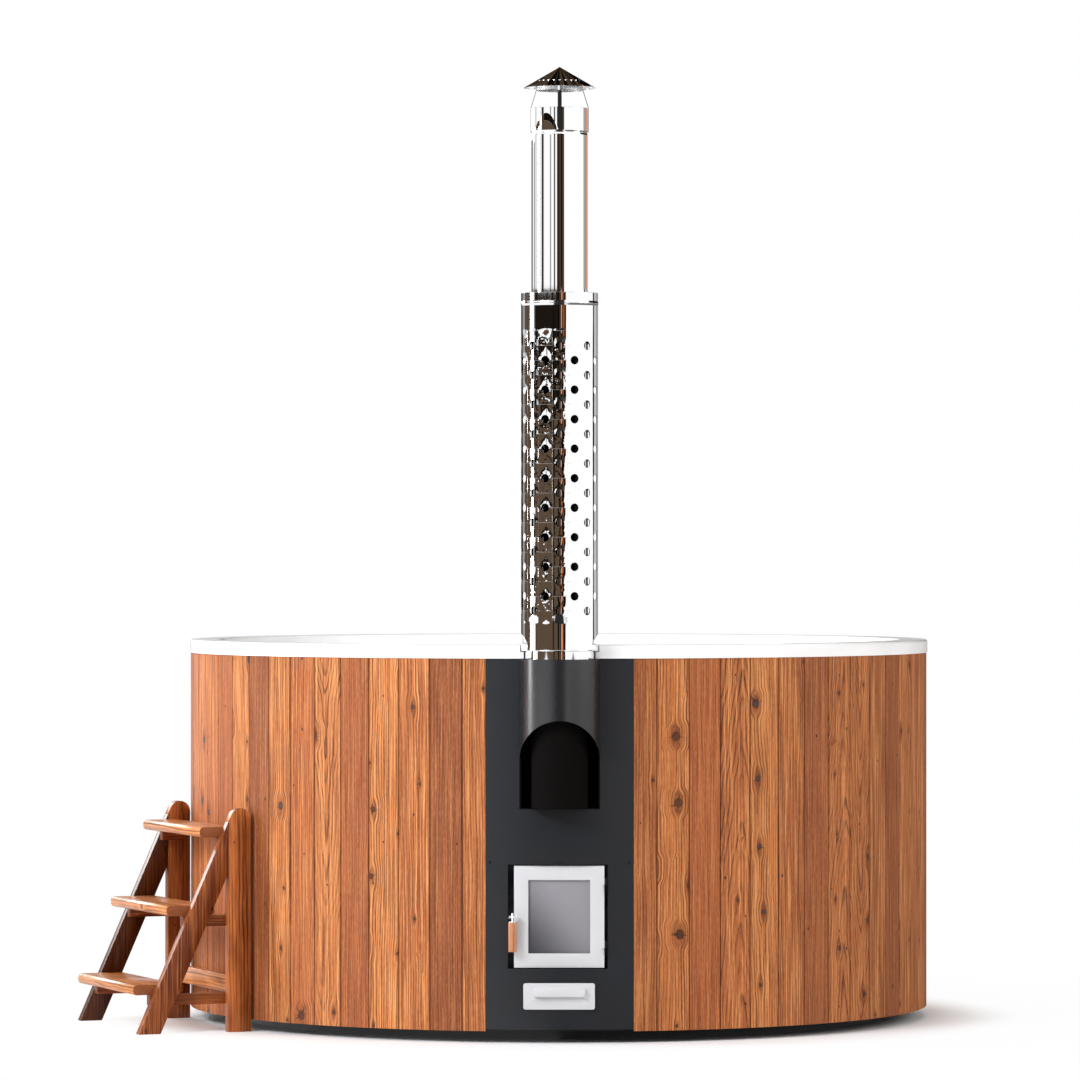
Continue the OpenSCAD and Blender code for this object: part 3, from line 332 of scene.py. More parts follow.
def cladding():
    f = finish("cladding")
    x, y, z = f.place()
    turn = x.math("ARCTAN2", x, -y) / (2 * math.pi)
    place = (turn.fract() * 360 - FIRST_JOINT) / PITCH
    board = place.floor()
    pitch = math.radians(PITCH) * TUB_R
    across = (place.fract() - 0.5) * pitch
    half = BOARD_COUNT / 2
    right, left = RIGHT.split(), LEFT.split()
    count = len(right) + len(left)
    stops = [(n / count, CUTS[name]) for n, name in enumerate(right + left)]
    from_front = f.between(board + 1, board * -1 + BOARD_COUNT, board.over(half - 0.5))
    on_left = board.over(half - 0.5)
    number = from_front.math("PINGPONG", from_front, len(right) - 1) + on_left * len(right)
    step = (number + 0.5) / count
    cut = f.node("ShaderNodeValToRGB", {"ease": "CONSTANT", "stops": stops}, (step,))
    figure, red, knots = f.colours(cut)
    runout = cut.output(1)
    tone, _, warm = f.chance(board * 1.37 + 5)
    lines, streak, inside, knot_core_highlight, rays, shade, pins, own = timber(
        f, across, z, board, figure, figure * 4.5 + 6.8, knots, runout
    )
    light = f.mix(tint("#d08046"), tint("#a86035"), red)
    dark = f.mix(tint("#9d582a"), tint("#824322"), red)
    cloud = f.noise(f.join(across / 40, z / 240, board * 5), 1, 2)
    base = f.mix(light, dark, (tone * 0.5 + cloud * 0.9 - 0.3).fit(0, 1, 0, 1, "LINEAR"))
    base = f.mix(base, tint("#b96536"), warm.fit(0.3, 1.0) * 0.5)
    colour = f.mix(base, tint("#3a1405"), lines * (0.95 - red * 0.45))
    colour = f.mix(colour, tint("#3a1606"), streak.fit(0.5, 0.68) * (0.55 - red * 0.1))
    colour = f.mix(colour, tint("#f3ab68"), streak.fit(0.5, 0.32) * (0.65 - red * 0.4))
    pore = f.noise(f.join(across / 2.6, z / 17, board * 9), 1, 1)
    colour = f.mix(colour, tint("#3a1606"), pore.fit(0.52, 0.7) * 0.16)
    colour = f.mix(colour, tint("#ffc48a"), pore.fit(0.48, 0.3) * 0.07)
    colour = f.mix(colour, tint("#743818"), shade * 0.6)
    colour = f.mix(colour, tint("#4a2817"), inside * 0.85)
    # painted highlight: grey-blue on the knots' cores
    colour = f.mix(colour, tint("#3d4347"), knot_core_highlight * own[1].fit(0.2, 0.6) * 0.9)
    colour = f.mix(colour, tint("#22130b"), rays * 0.85)
    colour = f.mix(colour, tint("#20150f"), pins * 0.92)
    edge = (across.size() / (pitch / 2)).fit(0.93, 0.99)
    colour = f.mix(colour, tint("#5c2c18"), edge * 0.65)
    # painted shade: faces lying deeper than a few millimetres inside the boards' front, in the joints
    # and at the cut ends, are darkened
    colour = f.mix(colour, tint("#3c1c0e"), (TUB_R - (x * x + y * y).root()).fit(2.5, 7) * 0.8)
    height = lines * -0.14 + streak * -0.12 + inside * -0.1 + rays * -0.3
    rough = 0.5 + streak * 0.14 - inside * 0.1
    f.end(f.surface(colour, rough, f.bump(height), Specular_IOR_Level=0.26))


def step_timber(name, along, across, third, light, dark, gloss, painted_shade_farther=0.0):
    """Stained timber of the steps, grained along one direction; painted shade darkens its farther
    pieces by the share painted_shade_farther.
    """
    f = finish(name)
    point = f.place()
    run, side, face = (f.along(point, axis) for axis in (along, across, third))
    piece = (side / 260).floor() + (face / 300).floor() * 3 + 2
    lines, streak, inside, _, rays, _, pins, _ = timber(
        f, side + face, run, piece, side * 0 + 0.12, 9.5, side * 0 + 0.3, 0.3, 1.3
    )
    cloud = f.noise(f.join(side / 30, run / 160, face / 60), 1, 2)
    colour = f.mix(tint(light), tint(dark), cloud.fit(0.3, 0.7))
    colour = f.mix(colour, tint("#341507"), lines * 0.8)
    colour = f.mix(colour, tint("#2a1005"), streak.fit(0.52, 0.7) * 0.6)
    colour = f.mix(colour, tint("#d98a48"), streak.fit(0.48, 0.28) * 0.5)
    colour = f.mix(colour, tint("#2f150b"), inside * 0.7)
    colour = f.mix(colour, tint("#160c07"), (rays * 0.8).most(pins * 0.95))
    # painted shade: the farther of the two posts or stringers is darkened
    colour = f.mix(colour, tint("#1d0c05"), (face * -1).over(0) * painted_shade_farther)
    facing = f.split(f.node("ShaderNodeNewGeometry", None, (), 1))
    end = f.along(facing, along).size().over(0.8)
    colour = f.mix(colour, tint("#7e4426"), end * 0.85)
    f.end(
        f.surface(
            colour, 0.4 + streak * 0.14, f.bump(lines * -0.1 + streak * -0.12),
            Coat_Weight=gloss, Coat_Roughness=0.2, Coat_IOR=1.33, Specular_IOR_Level=0.1,
        )
    )


def plywood():
    f = finish("plywood")
    x, y, z = f.place()
    layer = (z / 1.5).fract()
    grain = f.noise(f.join(x / 60, y / 5, z / 3), 1, 3)
    colour = f.mix(tint("#cda873"), tint("#9a7444"), layer.over(0.5) * 0.5)
    colour = f.mix(colour, tint("#8d6a41"), grain.fit(0.4, 0.8) * 0.5)
    f.end(f.surface(colour, 0.6 + grain * 0.2, f.bump(grain * 0.2)))


def coated(name, colour, other, roughness, peel=0.05, grain=1.4, painted_shade_from_x=None, **constants):
    """Paint, powder coat, gelcoat or moulded plastic: an even colour with a fine peel.

    Right of painted_shade_from_x, where the hinge's eyes are, it is black as painted shade in the gap
    beside the door.
    """
    f = finish(name)
    x, y, z = f.place()
    where = f.join(x, y, z)
    wide = f.noise(where, 1 / 140, 2)
    fine = f.noise(where, 1 / grain, 2, 0.6)
    tone = f.mix(tint(colour), tint(other), wide.fit(0.3, 0.7))
    if painted_shade_from_x:
        # painted shade: black over the hinge's eyes right of the given x
        tone = f.mix(tone, tint("#0c0b0b"), x.over(painted_shade_from_x))
    rough = wide.fit(0.3, 0.7, roughness - 0.03, roughness + 0.04) + fine * 0.03
    f.end(f.surface(tone, rough, f.bump(fine * peel), **constants))


def steel(name, colour, other, roughness, streak, stretch=(1.0, 1.0, 60.0), peel=0.01):
    """Bare, brushed or polished metal, with streaks along the way it was rolled."""
    f = finish(name)
    x, y, z = f.place()
    lines = f.noise(f.join(x / stretch[0], y / stretch[1], z / stretch[2]), 1, 3, 0.6)
    wide = f.noise(f.join(x, y, z), 1 / 90, 2)
    tone = f.mix(tint(colour), tint(other), lines.fit(0.35, 0.7) * 0.6 + wide * 0.2)
    rough = roughness + lines * streak + wide * streak * 0.5
    f.end(f.surface(tone, rough, f.bump(lines * peel), 1.0))


def cast_iron():
    f = finish("cast_grate")
    x, y, z = f.place()
    sand = f.noise(f.join(x, y, z), 1 / 1.6, 3, 0.7)
    rust = f.noise(f.join(x, y, z), 1 / 35, 3, 0.6)
    tone = f.mix(tint("#2a2a2b"), tint("#4a3426"), rust.fit(0.5, 0.75))
    f.end(f.surface(tone, 0.62 + sand * 0.2, f.bump(sand * 0.5), 0.3))


def stove_plate():
    f = finish("stove_steel")
    x, y, z = f.place()
    scale = f.noise(f.join(x, y, z), 1 / 55, 4, 0.65)
    fine = f.noise(f.join(x, y, z), 1 / 3.0, 2)
    tone = f.mix(tint("#55575a"), tint("#33343a"), scale.fit(0.35, 0.65))
    f.end(f.surface(tone, 0.35 + scale * 0.25, f.bump(fine * 0.08), 0.8))


def smoked_glass():
    """Ceramic pane with a painted reflection: dark at its lower left, lightening towards its upper
    right corner.
    """
    f = finish("smoked_glass")
    x, y, z = f.place()
    # painted reflection: the colour runs from dark at the lower left to light at the upper right, with
    # a little noise
    clear = ((x + 80) / 160 * 0.8 + (z - 230) / 190 * 0.8).fit(0.0, 1.1)
    reflection_noise = f.noise(f.join(x, y, z), 1 / 60, 2) - 0.5
    tone = f.mix(tint("#4a494e"), tint("#929094"), clear + reflection_noise * 0.1)
    f.end(f.surface(tone, 0.3, None, Specular_IOR_Level=0.3))


def seal_rope():
    f = finish("seal_rope")
    x, _, z = f.place()
    braid = ((x + z) / 1.8).sine() * ((x - z) / 1.8).sine()
    tone = f.mix(tint("#5b5954"), tint("#8d8a82"), braid.fit(-1, 1))
    f.end(f.surface(tone, 0.9, f.bump(braid * 0.4)))


def grip_wood():
    f = finish("grip_wood")
    x, y, z = f.place()
    field = ((x + 128) * (x + 128) + (y + 1002) * (y + 1002)).root() + f.noise(
        f.join(x / 8, y / 8, z / 60), 1, 2
    ) * 3
    lines = (field / 2.4).fract() ** 2
    tone = f.mix(tint("#cf8a5c"), tint("#7a4322"), lines * 0.8)
    rough = 0.35 + lines * 0.1
    height = lines * -0.08
    f.end(f.surface(tone, rough, f.bump(height), Coat_Weight=1.0, Coat_Roughness=0.22))


# Directions of the steps: outwards from the tub, sideways, up and along a stringer
out = (-math.cos(STEP_ANGLE), -math.sin(STEP_ANGLE), 0.0)
side = (math.sin(STEP_ANGLE), -math.cos(STEP_ANGLE), 0.0)
up = (0.0, 0.0, 1.0)
rake = (out[0] * -math.sin(RAKE_ANGLE), out[1] * -math.sin(RAKE_ANGLE), math.cos(RAKE_ANGLE))
cladding()
# the last number darkens the farther post and stringer as painted shade
step_timber("step_posts", up, out, side, "#c8733a", "#965026", 0.4, 0.3)
step_timber("step_stringers", rake, out, side, "#9e562a", "#6c3116", 0.4, 0.75)
step_timber("step_treads", side, out, up, "#dc8f54", "#b06a36", 0.6)
step_timber("step_cleats", out, up, side, "#a35a2c", "#7a3c1c", 0.3)
plywood()
coated("basin_white", "#fbfbfb", "#f8f8f8", 0.2, 0.015, 9.0, Coat_Weight=0.25, Coat_Roughness=0.08)
coated("fitting_white", "#eeeeef", "#e6e6e8", 0.3, 0.01)
coated("black_base", "#141415", "#1c1c1e", 0.5, 0.12, 2.5)
coated("panel_grey", "#1b1d22", "#191a1e", 0.42, 0.04, 1.2, Specular_IOR_Level=0.5)
coated("sleeve_grey", "#1d1e20", "#1b1b1e", 0.24, 0.03, 1.2, Specular_IOR_Level=1.0)
coated("stove_black", "#0b0908", "#0f0c0b", 0.8, 0.1, 1.5, Specular_IOR_Level=0.05)
coated("door_grey", "#d3d3d4", "#cfcfd0", 0.38, 0.04, 1.2, 114.8, Specular_IOR_Level=0.3)
coated("drain_grey", "#6d7073", "#64676a", 0.35, 0.02)
steel("polished_steel", "#ffffff", "#fafafb", 0.008, 0.012, (2.0, 2.0, 400.0), 0.001)
steel("satin_steel", "#fafafa", "#ececed", 0.5, 0.06, (6.0, 6.0, 40.0))
steel("bare_steel", "#c4c5c8", "#9fa0a4", 0.22, 0.15)
steel("dark_steel", "#3b3c3f", "#2c2d30", 0.3, 0.1)
steel("valve_brass", "#c9a25a", "#a9803a", 0.2, 0.12, (6.0, 6.0, 6.0))
cast_iron()
stove_plate()
smoked_glass()
seal_rope()
grip_wood()


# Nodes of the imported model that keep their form: finish, width of the softened edges in mm
KEPT = {
    "base_skirt": ("black_base", 0), "base_bearers": ("black_base", 0), "base_plate": ("black_base", 0),
    "floor_joists": ("plywood", 0), "plywood_hoops": ("plywood", 0), "rim_core": ("plywood", 0),
    "basin": ("basin_white", 0), "basin_hood": ("basin_white", 0), "basin_well": ("basin_white", 0),
    "basin_floor": ("basin_white", 0), "boards_front_left": ("cladding", 0),
    "boards_front_right": ("cladding", 0), "boards_rear_left": ("cladding", 0),
    "boards_rear_right": ("cladding", 0), "boards_cut": ("cladding", 0),
    "front_panel": ("panel_grey", 0), "front_panel_low": ("panel_grey", 0),
    "panel_screws": ("dark_steel", 0), "flue_sleeve": ("sleeve_grey", 0),
    "niche_back": ("stove_black", 0), "door_surround": ("stove_black", 0),
    "ash_surround": ("stove_black", 0), "hinge_blocks": ("stove_black", 0.6),
    "hinge_pins": ("stove_black", 0), "latch_keeper": ("bare_steel", 0.4),
    "stove_front": ("stove_steel", 0), "water_jacket": ("stove_steel", 0),
    "firebox": ("stove_steel", 0), "fire_grate": ("cast_grate", 0.6), "stove_feet": ("stove_steel", 0),
    "ash_rails": ("bare_steel", 0), "smoke_riser": ("stove_black", 0), "flue_tee": ("stove_black", 0),
    "shield_spacers": ("bare_steel", 0), "cap_straps": ("polished_steel", 0),
    "cap_ring": ("satin_steel", 0),
    "water_pipes": ("bare_steel", 0), "fitting_nuts": ("black_base", 0.6),
    "wall_fittings": ("fitting_white", 0), "drain_inlet": ("bare_steel", 0),
    "drain_pipe": ("drain_grey", 0), "drain_valve": ("valve_brass", 0.5),
    "step_posts": ("step_posts", 1.6), "step_stringers": ("step_stringers", 1.6),
    "step_treads": ("step_treads", 1.2), "step_cleats": ("step_cleats", 1.2),
    "step_rail": ("step_treads", 1.2), "door_frame": ("door_grey", 1.2),
    "door_glass": ("smoked_glass", 0.4), "glass_clips": ("bare_steel", 0.3),
    "door_gasket": ("seal_rope", 0), "latch_stud": ("satin_steel", 0),
    "latch_lever": ("satin_steel", 0.4), "latch_grip": ("grip_wood", 1.0),
    "ash_front": ("door_grey", 1.2), "ash_tray": ("bare_steel", 0), "drain_lever": ("bare_steel", 0.5),
}


def dress(name, coat, edge):
    """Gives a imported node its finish, smooth curves and soft edges, and leaves its mesh alone."""
    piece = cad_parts[name]
    piece.data.materials.clear()
    piece.data.materials.append(finishes[coat])
    piece.data.polygons.foreach_set("use_smooth", [True] * len(piece.data.polygons))
    weld = piece.modifiers.new("weld", "WELD")
    weld.merge_threshold = 0.01 * MM
    if edge:
        bevel = piece.modifiers.new("bevel", "BEVEL")
        bevel.width = edge * MM
        bevel.segments = 3
        bevel.limit_method = "ANGLE"
        bevel.angle_limit = math.radians(40)
        bevel.harden_normals = True
    else:
        split = piece.modifiers.new("split", "EDGE_SPLIT")
        split.split_angle = math.radians(32)


for name, (coat, edge) in KEPT.items():
    dress(name, coat, edge)


# Own pieces


def make(name, points, faces, coat, body, stands_for=(), normals=None, sharp=32):
    """A piece from points in millimetres. Normals, one a point, keep a curve's reflections true."""
    mesh = bpy.data.meshes.new(name)
    mesh.from_pydata([tuple(c * MM for c in p) for p in points], [], faces)
    mesh.validate()
    mesh.polygons.foreach_set("use_smooth", [True] * len(mesh.polygons))
    if normals:
        mesh.normals_split_custom_set_from_vertices(normals)
    else:
        tidy = bmesh.new()
        tidy.from_mesh(mesh)
        bmesh.ops.remove_doubles(tidy, verts=tidy.verts, dist=0.001 * MM)
        bmesh.ops.recalc_face_normals(tidy, faces=tidy.faces)
        tidy.to_mesh(mesh)
        tidy.free()
        mesh.set_sharp_from_angle(angle=math.radians(sharp))
    mesh.materials.append(finishes[coat])
    piece = bpy.data.objects.new(name, mesh)
    bpy.context.scene.collection.objects.link(piece)
    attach(piece, body)
    if stands_for:
        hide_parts(*stands_for)
    return piece


def turned(name, outline, centre, coat, body, stands_for=(), count=192, sharp=32):
    """A closed outline of (radius, height) swept round an upright axis."""
    points, faces = [], []
    rows = len(outline)
    for i in range(count):
        a = 2 * math.pi * i / count
        for r, z in outline:
            points.append((centre[0] + r * math.sin(a), centre[1] - r * math.cos(a), z))
    for i in range(count):
        j = (i + 1) % count
        for k in range(rows):
            m = (k + 1) % rows
            faces.append((i * rows + k, j * rows + k, j * rows + m, i * rows + m))
    return make(name, points, faces, coat, body, stands_for, None, sharp)


def bead(z, r, out, half, steps=6):
    """Outline points of a rolled bead that stands out of a tube."""
    return [
        (r + out * 0.5 * (1 - math.cos(2 * math.pi * i / steps)), z - half + 2 * half * i / steps)
        for i in range(steps + 1)
    ]


def flue_pipe():
    """Polished tube with the groove under its cap's ring."""
    r, wall = FLUE_R, 1.5
    outline = [(r - wall, 985.3), (r, 985.3), (r, 986), (r, 2326)] + bead(2331.5, r, -1.6, 5, 10)
    outline += [(r, 2337), (r, 2394.2), (r, 2394.9), (r - 0.6, 2395.5), (r - wall, 2395.5)]
    turned(
        "flue_pipe_tube", outline, FLUE_AT, "flue_steel", "tub", ("flue_pipe",), 256
    )


def heat_shield():
    """Perforated tube with its rolled foot ring and neck."""
    r, wall, hole = SHIELD_R, 1.0, 11.0
    foot, top = 1009.0, 1922.0
    count_round = 28  # points round a hole
    width = 2 * math.pi * SHIELD_R / HOLE_COLUMNS
    turns = [2 * math.pi * (i + 0.5) / count_round for i in range(count_round)]
    inward = (0, 0, -1)
    points, normals, faces = [], [], []

    def put(s, z, radius, normal):
        a = s / r
        x, y = math.sin(a), -math.cos(a)
        points.append((radius * x, FLUE_Y + radius * y, z))
        if normal is None:
            normals.append((x, y, 0.0))
        else:
            across, up, outwards = normal
            normals.append((across * -y + outwards * x, across * x + outwards * y, up))
        return len(points) - 1

    def sheet(corners):
        """A quad of the tube's wall between two widths and two heights, both faces."""
        s0, s1, z0, z1 = corners
        steps = 6
        for radius, flip in ((r, False), (r - wall, True)):
            rows = []
            for z in (z0, z1):
                rows.append([
                    put(s0 + (s1 - s0) * i / steps, z, radius, inward if flip else None)
                    for i in range(steps + 1)
                ])
            for i in range(steps):
                quad = (rows[0][i], rows[0][i + 1], rows[1][i + 1], rows[1][i])
                faces.append(quad[::-1] if flip else quad)

    def pierced(s, z, half):
        """A cell of the wall with one round hole in its middle."""
        for radius, flip in ((r, False), (r - wall, True)):
            normal = inward if flip else None
            inner, outer = [], []
            for a in turns:
                c, n = math.cos(a), math.sin(a)
                inner.append(put(s + hole * c, z + hole * n, radius, normal))
                reach = min(width / 2 / abs(c), half / abs(n))
                outer.append(put(s + reach * c, z + reach * n, radius, normal))
            for i in range(count_round):
                j = (i + 1) % count_round
                quad = (inner[i], outer[i], outer[j], inner[j])
                faces.append(quad[::-1] if flip else quad)
            for i in range(count_round):
                j = (i + 1) % count_round
                a0, a1 = turns[i], 2 * math.pi * (i + 1.5) / count_round
                for cs, cz in ((1, 1), (-1, 1), (-1, -1), (1, -1)):
                    at = math.atan2(cz * half, cs * width / 2) % (2 * math.pi)
                    if a0 <= at < a1:
                        corner = put(s + cs * width / 2, z + cz * half, radius, normal)
                        face = (outer[i], corner, outer[j])
                        faces.append(face[::-1] if flip else face)
        edges = []
        for radius in (r, r - wall):
            edges.append([
                put(
                    s + hole * math.cos(a), z + hole * math.sin(a), radius,
                    (-math.cos(a), -math.sin(a), 0),
                )
                for a in turns
            ])
        for i in range(count_round):
            j = (i + 1) % count_round
            faces.append((edges[0][i], edges[0][j], edges[1][j], edges[1][i]))

    bead_z, bead_half = 1895.0, 6.0
    for k in range(HOLE_COLUMNS):
        s = k * width
        count, start = (10, FIRST_HOLE) if k % 2 == 0 else (9, 1146.6)
        low, high = start - HOLE_PITCH / 2, start + (count - 0.5) * HOLE_PITCH
        sheet((s - width / 2, s + width / 2, foot, low))
        for i in range(count):
            pierced(s, start + i * HOLE_PITCH, HOLE_PITCH / 2)
        sheet((s - width / 2, s + width / 2, high, bead_z - bead_half))
    make(
        "heat_shield_wall", points, faces, "shield_steel", "tub",
        ("heat_shield",), normals,
    )

    outline = bead(bead_z, r, 1.0, bead_half, 12) + [(r, bead_z + bead_half + 0.5), (r, top - 1.2)]
    outline += [(r, top - 0.5), (r - 0.5, top), (r - wall, top), (r - wall, bead_z - bead_half)]
    turned("heat_shield_top", outline, FLUE_AT, "polished_steel", "tub", (), 256)
    outline = [
        (87.5, 945), (88.5, 945), (88.5, 1006.4), (98.6, 1006.4), (99.5, 1006.8), (99.75, 1007.7),
        (99.5, 1008.6), (98.75, 1009), (87.5, 1009),
    ]
    turned("heat_shield_foot", outline, FLUE_AT, "polished_steel", "tub", (), 256)


def rain_cap():
    """Pressed cone with sharp pleats that die out towards its tip."""
    pleats, steps, rows = 24, 6, 14
    foot, tip, r, rise, sheet = 2448.0, 2502.0, 92.5, 5.0, 0.8
    count = pleats * steps
    points, faces = [], []
    for layer in (0, 1):
        for k in range(rows + 1):
            share = k / rows
            radius = max(r * share, 0.4)
            for i in range(count):
                a = 2 * math.pi * i / count
                fold = abs((i / steps) % 1 - 0.5) * 2
                z = tip - (tip - foot) * share - rise * share * fold - layer * sheet
                z = max(z, foot)
                points.append((radius * math.sin(a), FLUE_Y - radius * math.cos(a), z))
    base = (rows + 1) * count
    for k in range(rows):
        for i in range(count):
            j = (i + 1) % count
            quad = (k * count + i, k * count + j, (k + 1) * count + j, (k + 1) * count + i)
            faces.append(quad)
            faces.append(tuple(base + v for v in quad[::-1]))
    for i in range(count):
        j = (i + 1) % count
        low, high = rows * count + i, rows * count + j
        faces.append((low, high, base + high, base + low))
    faces.append(tuple(range(count))[::-1])
    faces.append(tuple(base + i for i in range(count)))
    make(
        "rain_cap_cone", points, faces, "polished_steel", "tub",
        ("rain_cap",), None, 5,
    )


def flue_steel():
    """Polished tube with the faint dents over its bead where the straps are pinched on."""
    f = finish("flue_steel")
    x, y, z = f.place()
    around = x / FLUE_R
    arch = 44 - (around + 0.48) * (around + 0.48) * 250
    rise = z - 2336.5
    inside = (arch - rise).over(0) * rise.over(0) * (around + 0.06).fit(0.01, -0.01)
    dent = (rise.least(arch - 19) * 0.032 - (rise - arch + 19).most(0) * 0.061) * inside
    lines = f.noise(f.join(x / 2, y / 2, z / 400), 1, 3, 0.6)
    rough = 0.008 + lines * 0.01
    f.end(f.surface(tint("#ffffff"), rough, f.bump(dent), 1.0))


def shield_steel():
    """Polished steel with the pressed rims over the shield's holes, and painted shade on its inside,
    which is coloured near black.
    """
    f = finish("shield_steel")
    x, y, z = f.place()
    turn = (x.math("ARCTAN2", x, -(y - FLUE_Y)) / (2 * math.pi)) * HOLE_COLUMNS
    column = (turn + 0.5).floor()
    off = (turn - column) * (2 * math.pi * SHIELD_R / HOLE_COLUMNS)
    odd = (column / 2).fract() * 2
    rung = (z - FIRST_HOLE - odd * (HOLE_PITCH / 2)) / HOLE_PITCH
    rise = (rung - (rung + 0.5).floor()) * HOLE_PITCH
    bent = f.noise(f.join(x / 9, y / 9, z / 14), 1, 1) - 0.5
    reach = ((off - 3).size() * 1.1 + rise.most(0) * 0.9 + bent * 7) / 33
    near = (1 - reach).most(0)
    dent = near * near * 0.85 * z.fit(1075, 1100) * z.fit(1830, 1805) * turn.fit(0.8, 0.4)
    wide = f.noise(f.join(x / 14, y / 14, z / 420), 1, 1)
    depth = (x * x + (y - FLUE_Y) * (y - FLUE_Y)).root()
    # painted shade: the shield's inner faces, in the gap round the flue, are near black so the holes
    # read dark
    tone = f.mix(tint("#151516"), tint("#ffffff"), depth.over(98.35))
    f.end(f.surface(tone, 0.01, f.bump(dent + wide * 0.25), 1.0))


flue_steel()
shield_steel()
flue_pipe()
heat_shield()
rain_cap()


# Floor, light, surroundings and camera


def studio_floor():
    """A white floor that keeps the tub's shadow near it, and is plain white further out."""
    size, drop = 40.0, -0.0004
    mesh = bpy.data.meshes.new("floor")
    mesh.from_pydata(
        [(-size, -size, drop), (size, -size, drop), (size, size, drop), (-size, size, drop)],
        [], [(0, 1, 2, 3)],
    )
    f = finish("studio_floor")
    x, y, _ = f.place()
    reach = (x * x + y * y).root()
    share = reach.fit(985, 1260) * 0.95 + reach.fit(1300, 2200) * 0.05
    lit = f.surface(tint("#fafafa"), 0.9, Specular_IOR_Level=0.1)
    path = f.node("ShaderNodeLightPath")
    gloss = path.output("Is Glossy Ray")
    seen = (path + gloss + path.output("Is Transmission Ray")).least(1.0)
    turn = x.math("ARCTAN2", x, -(y - FLUE_Y)) * (180 / math.pi)
    lane = turn.fit(-22, -15) * turn.fit(18, 12)
    right = turn.fit(12, 34) * 0.85
    tone = f.mix((1, 1, 1, 1), tint("#2b2a2b"), lane.most(right) * gloss)
    glow = f.node("ShaderNodeEmission", None, {"Color": tone, "Strength": 1.0})
    mixed = f.node("ShaderNodeMixShader", None, (seen * share.most(gloss), lit, glow))
    f.end(mixed)
    mesh.materials.append(finishes["studio_floor"])
    floor = bpy.data.objects.new("floor", mesh)
    bpy.context.scene.collection.objects.link(floor)


# A made-up studio for polished steel to reflect, in a few plain tones
WHITE, PALE, SILVER, GREY, SLATE = "#ffffff", "#e6e6e6", "#c0c0c0", "#999999", "#444444"
BLACK, UMBER, BROWN, EARTH = "#0c0a08", "#2a221c", "#44362a", "#5a4a3c"
TIMBER, SHADED_TIMBER = "#dd8855", "#995533"

# Its screens and walls: from each angle on, in whole degrees from the front, a tone. The flue's top
# looks at LEVEL, its shield, lower down, at LOW, and the pleated cap at CROWN, by height.
LEVEL = [
    (-180, UMBER), (-156, GREY), (-141, WHITE), (-131, GREY), (-121, PALE), (-79, BLACK),
    (-72, GREY), (-68, WHITE), (-41, GREY), (-36, WHITE), (-24, SLATE), (-19, WHITE),
    (-12, BROWN), (-7, BLACK), (-3, BROWN), (5, BLACK), (9, BROWN), (13, SLATE), (17, WHITE),
    (112, SILVER), (119, GREY), (138, TIMBER), (150, SILVER), (168, SLATE), (176, WHITE),
]
LOW = [
    (-180, BLACK), (-150, GREY), (-128, EARTH), (-99, BLACK), (-92, WHITE), (-80, UMBER),
    (-76, EARTH), (-22, UMBER), (-17, EARTH), (-7, BLACK), (-2, EARTH), (1, UMBER), (3, GREY),
    (5, TIMBER), (8, UMBER), (10, SHADED_TIMBER), (12, BLACK), (17, WHITE), (117, BLACK),
    (126, SILVER), (140, GREY), (168, PALE),
]
CROWN_LEFT = [
    (12, WHITE), (14, BROWN), (22, BLACK), (25, BROWN), (35, PALE), (37, BLACK), (41, BROWN),
    (54, BLACK), (59, BROWN), (68, BLACK),
]
CROWN_RIGHT = [
    (12, BLACK), (20, TIMBER), (23, BLACK), (31, WHITE), (33, BLACK), (43, BROWN), (50, BLACK),
    (57, TIMBER), (60, BLACK), (66, BROWN),
]


def bands(f, table, turn, low=-180, span=360):
    """Bands of even colour along a turn or a height."""
    stops = [((start - low) / span, tint(colour)) for start, colour in table]
    return f.node("ShaderNodeValToRGB", {"ease": "CONSTANT", "stops": stops}, (turn,))


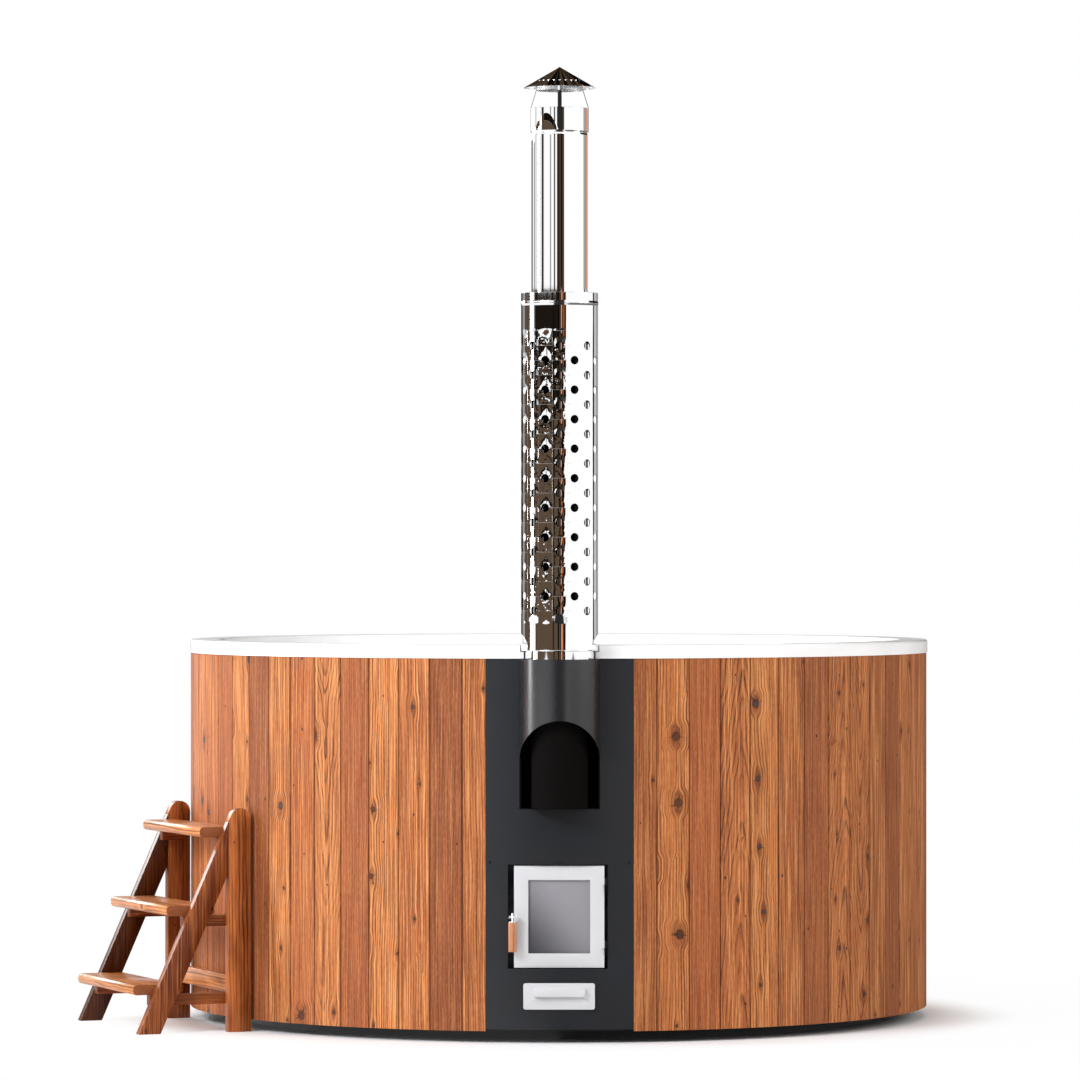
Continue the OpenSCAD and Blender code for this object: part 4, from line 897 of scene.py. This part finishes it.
def surroundings():
    """A white studio. Gloss sees its dark edges, screens and warm walls as well."""
    world = bpy.data.worlds.new("studio")
    bpy.context.scene.world = world
    world.use_nodes = True
    f = Finish(world.node_tree)
    x, y, z = f.split(f.node("ShaderNodeTexCoord", None, (), 0))
    turn = x.math("ARCTAN2", x, -y) / (2 * math.pi) + 0.5
    degrees = (turn - 0.5) * 360
    height = (z.math("ARCSINE", z)) * (180 / math.pi)
    level = bands(f, LEVEL, turn)
    ripple = (f.noise(f.join(turn * 60, height * 3, 0.0), 1, 3, 0.7) - 0.5) * 0.006
    low = bands(f, LOW, turn + ripple)
    grain = f.noise(f.join(turn * 900, height / 3, 1.0), 1, 2, 0.7)
    low = f.mix(low, tint("#120d0a"), grain.fit(0.55, 0.75) * (0.48 - turn).over(0) * 0.55)
    block = f.chance((turn * 60).floor())[0]
    dark = (height - 1.05 - block * 0.55).over(0) * (0.5 - turn).over(0)
    low = f.mix(low, tint("#100c0a"), dark * 0.93 * (turn - 0.27).over(0))
    lift = height / 90
    crown = f.mix(
        bands(f, CROWN_LEFT, lift, 0, 90), bands(f, CROWN_RIGHT, lift, 0, 90), (turn - 0.5).over(0)
    )
    behind = (height - 12).over(0) * (degrees.size() - 140).over(0)
    crown = f.mix(f.mix((1, 1, 1, 1), tint("#1a1513"), degrees.fit(96, 104)), crown, behind)
    middle = degrees.fit(-22, -15) * degrees.fit(18, 12) * height.fit(48, 40)
    upper = f.mix(crown, tint("#2b2a2b"), middle)
    fold = (degrees + 132).over(0) * (degrees + 12).fit(4, 0)
    fold = fold * (height - 5).over(0) * height.fit(16, 15.5)
    upper = f.mix(upper, f.mix(tint("#564230"), tint("#100c0a"), (height - 9.5).over(0)), fold)
    upper = f.mix(upper, (1, 1, 1, 1), height.fit(80, 84))
    sky = f.mix(level, upper, (height - 4.6).over(0))
    seen_low = (height - 2.3).over(0) * -1 + 1
    colour = f.mix(sky, low, seen_low)
    path = f.node("ShaderNodeLightPath")
    gloss = path.output("Is Glossy Ray")
    seen = (path + path.output("Is Transmission Ray")).least(1.0)
    plain = f.mix(tint("#ececed"), (1, 1, 1, 1), seen)
    colour = f.mix(plain, colour, gloss)
    strength = (seen + gloss).least(1.0) * 0.45 + 0.55
    back = f.node("ShaderNodeBackground", None, {"Color": colour, "Strength": strength})
    f.node("ShaderNodeOutputWorld", None, {"Surface": back})


def lamp(name, place, aim, size, power, colour=(1, 1, 1)):
    """A rectangular lamp in metres and watts, turned towards its aim."""
    light = bpy.data.lights.new(name, "AREA")
    light.shape = "RECTANGLE"
    light.size, light.size_y = size
    light.energy = power
    light.color = colour
    body = bpy.data.objects.new(name, light)
    body.location = place
    body.rotation_euler = (Vector(aim) - Vector(place)).to_track_quat("-Z", "Y").to_euler()
    bpy.context.scene.collection.objects.link(body)


studio_floor()
surroundings()
lamp("key", (-6.3, -6.6, 5.5), (0, 0, 0.8), (4.0, 3.0), 640, (0.97, 0.99, 1.05))
lamp("top", (0.5, -4.5, 6.0), (0, 0, 0.4), (4.0, 3.0), 50)
lamp("rim", (-8.56, 11.5, 5.8), (-1.0, -0.5, 0.6), (7.8, 5.2), 1300)
lamp("left", (-7.5, -0.41, 2.8), (0, -1.0, 1.4), (0.95, 4.5), 190)
lamp("right", (7.0, -2.6, 3.6), (0, 0, 0.6), (4.0, 3.0), 165, (1.0, 0.96, 0.9))

# A long lens at 17 m, level with the rim and the flue's foot
lens = bpy.data.cameras.new("camera")
lens.lens, lens.sensor_width = 208.17, 36.0
camera = bpy.data.objects.new("camera", lens)
camera.location = (-0.0504, -17.0, 1.290)
camera.rotation_euler = (math.pi / 2, 0, 0)
bpy.context.scene.collection.objects.link(camera)
bpy.context.scene.camera = camera
bpy.context.scene.view_settings.view_transform = "Standard"
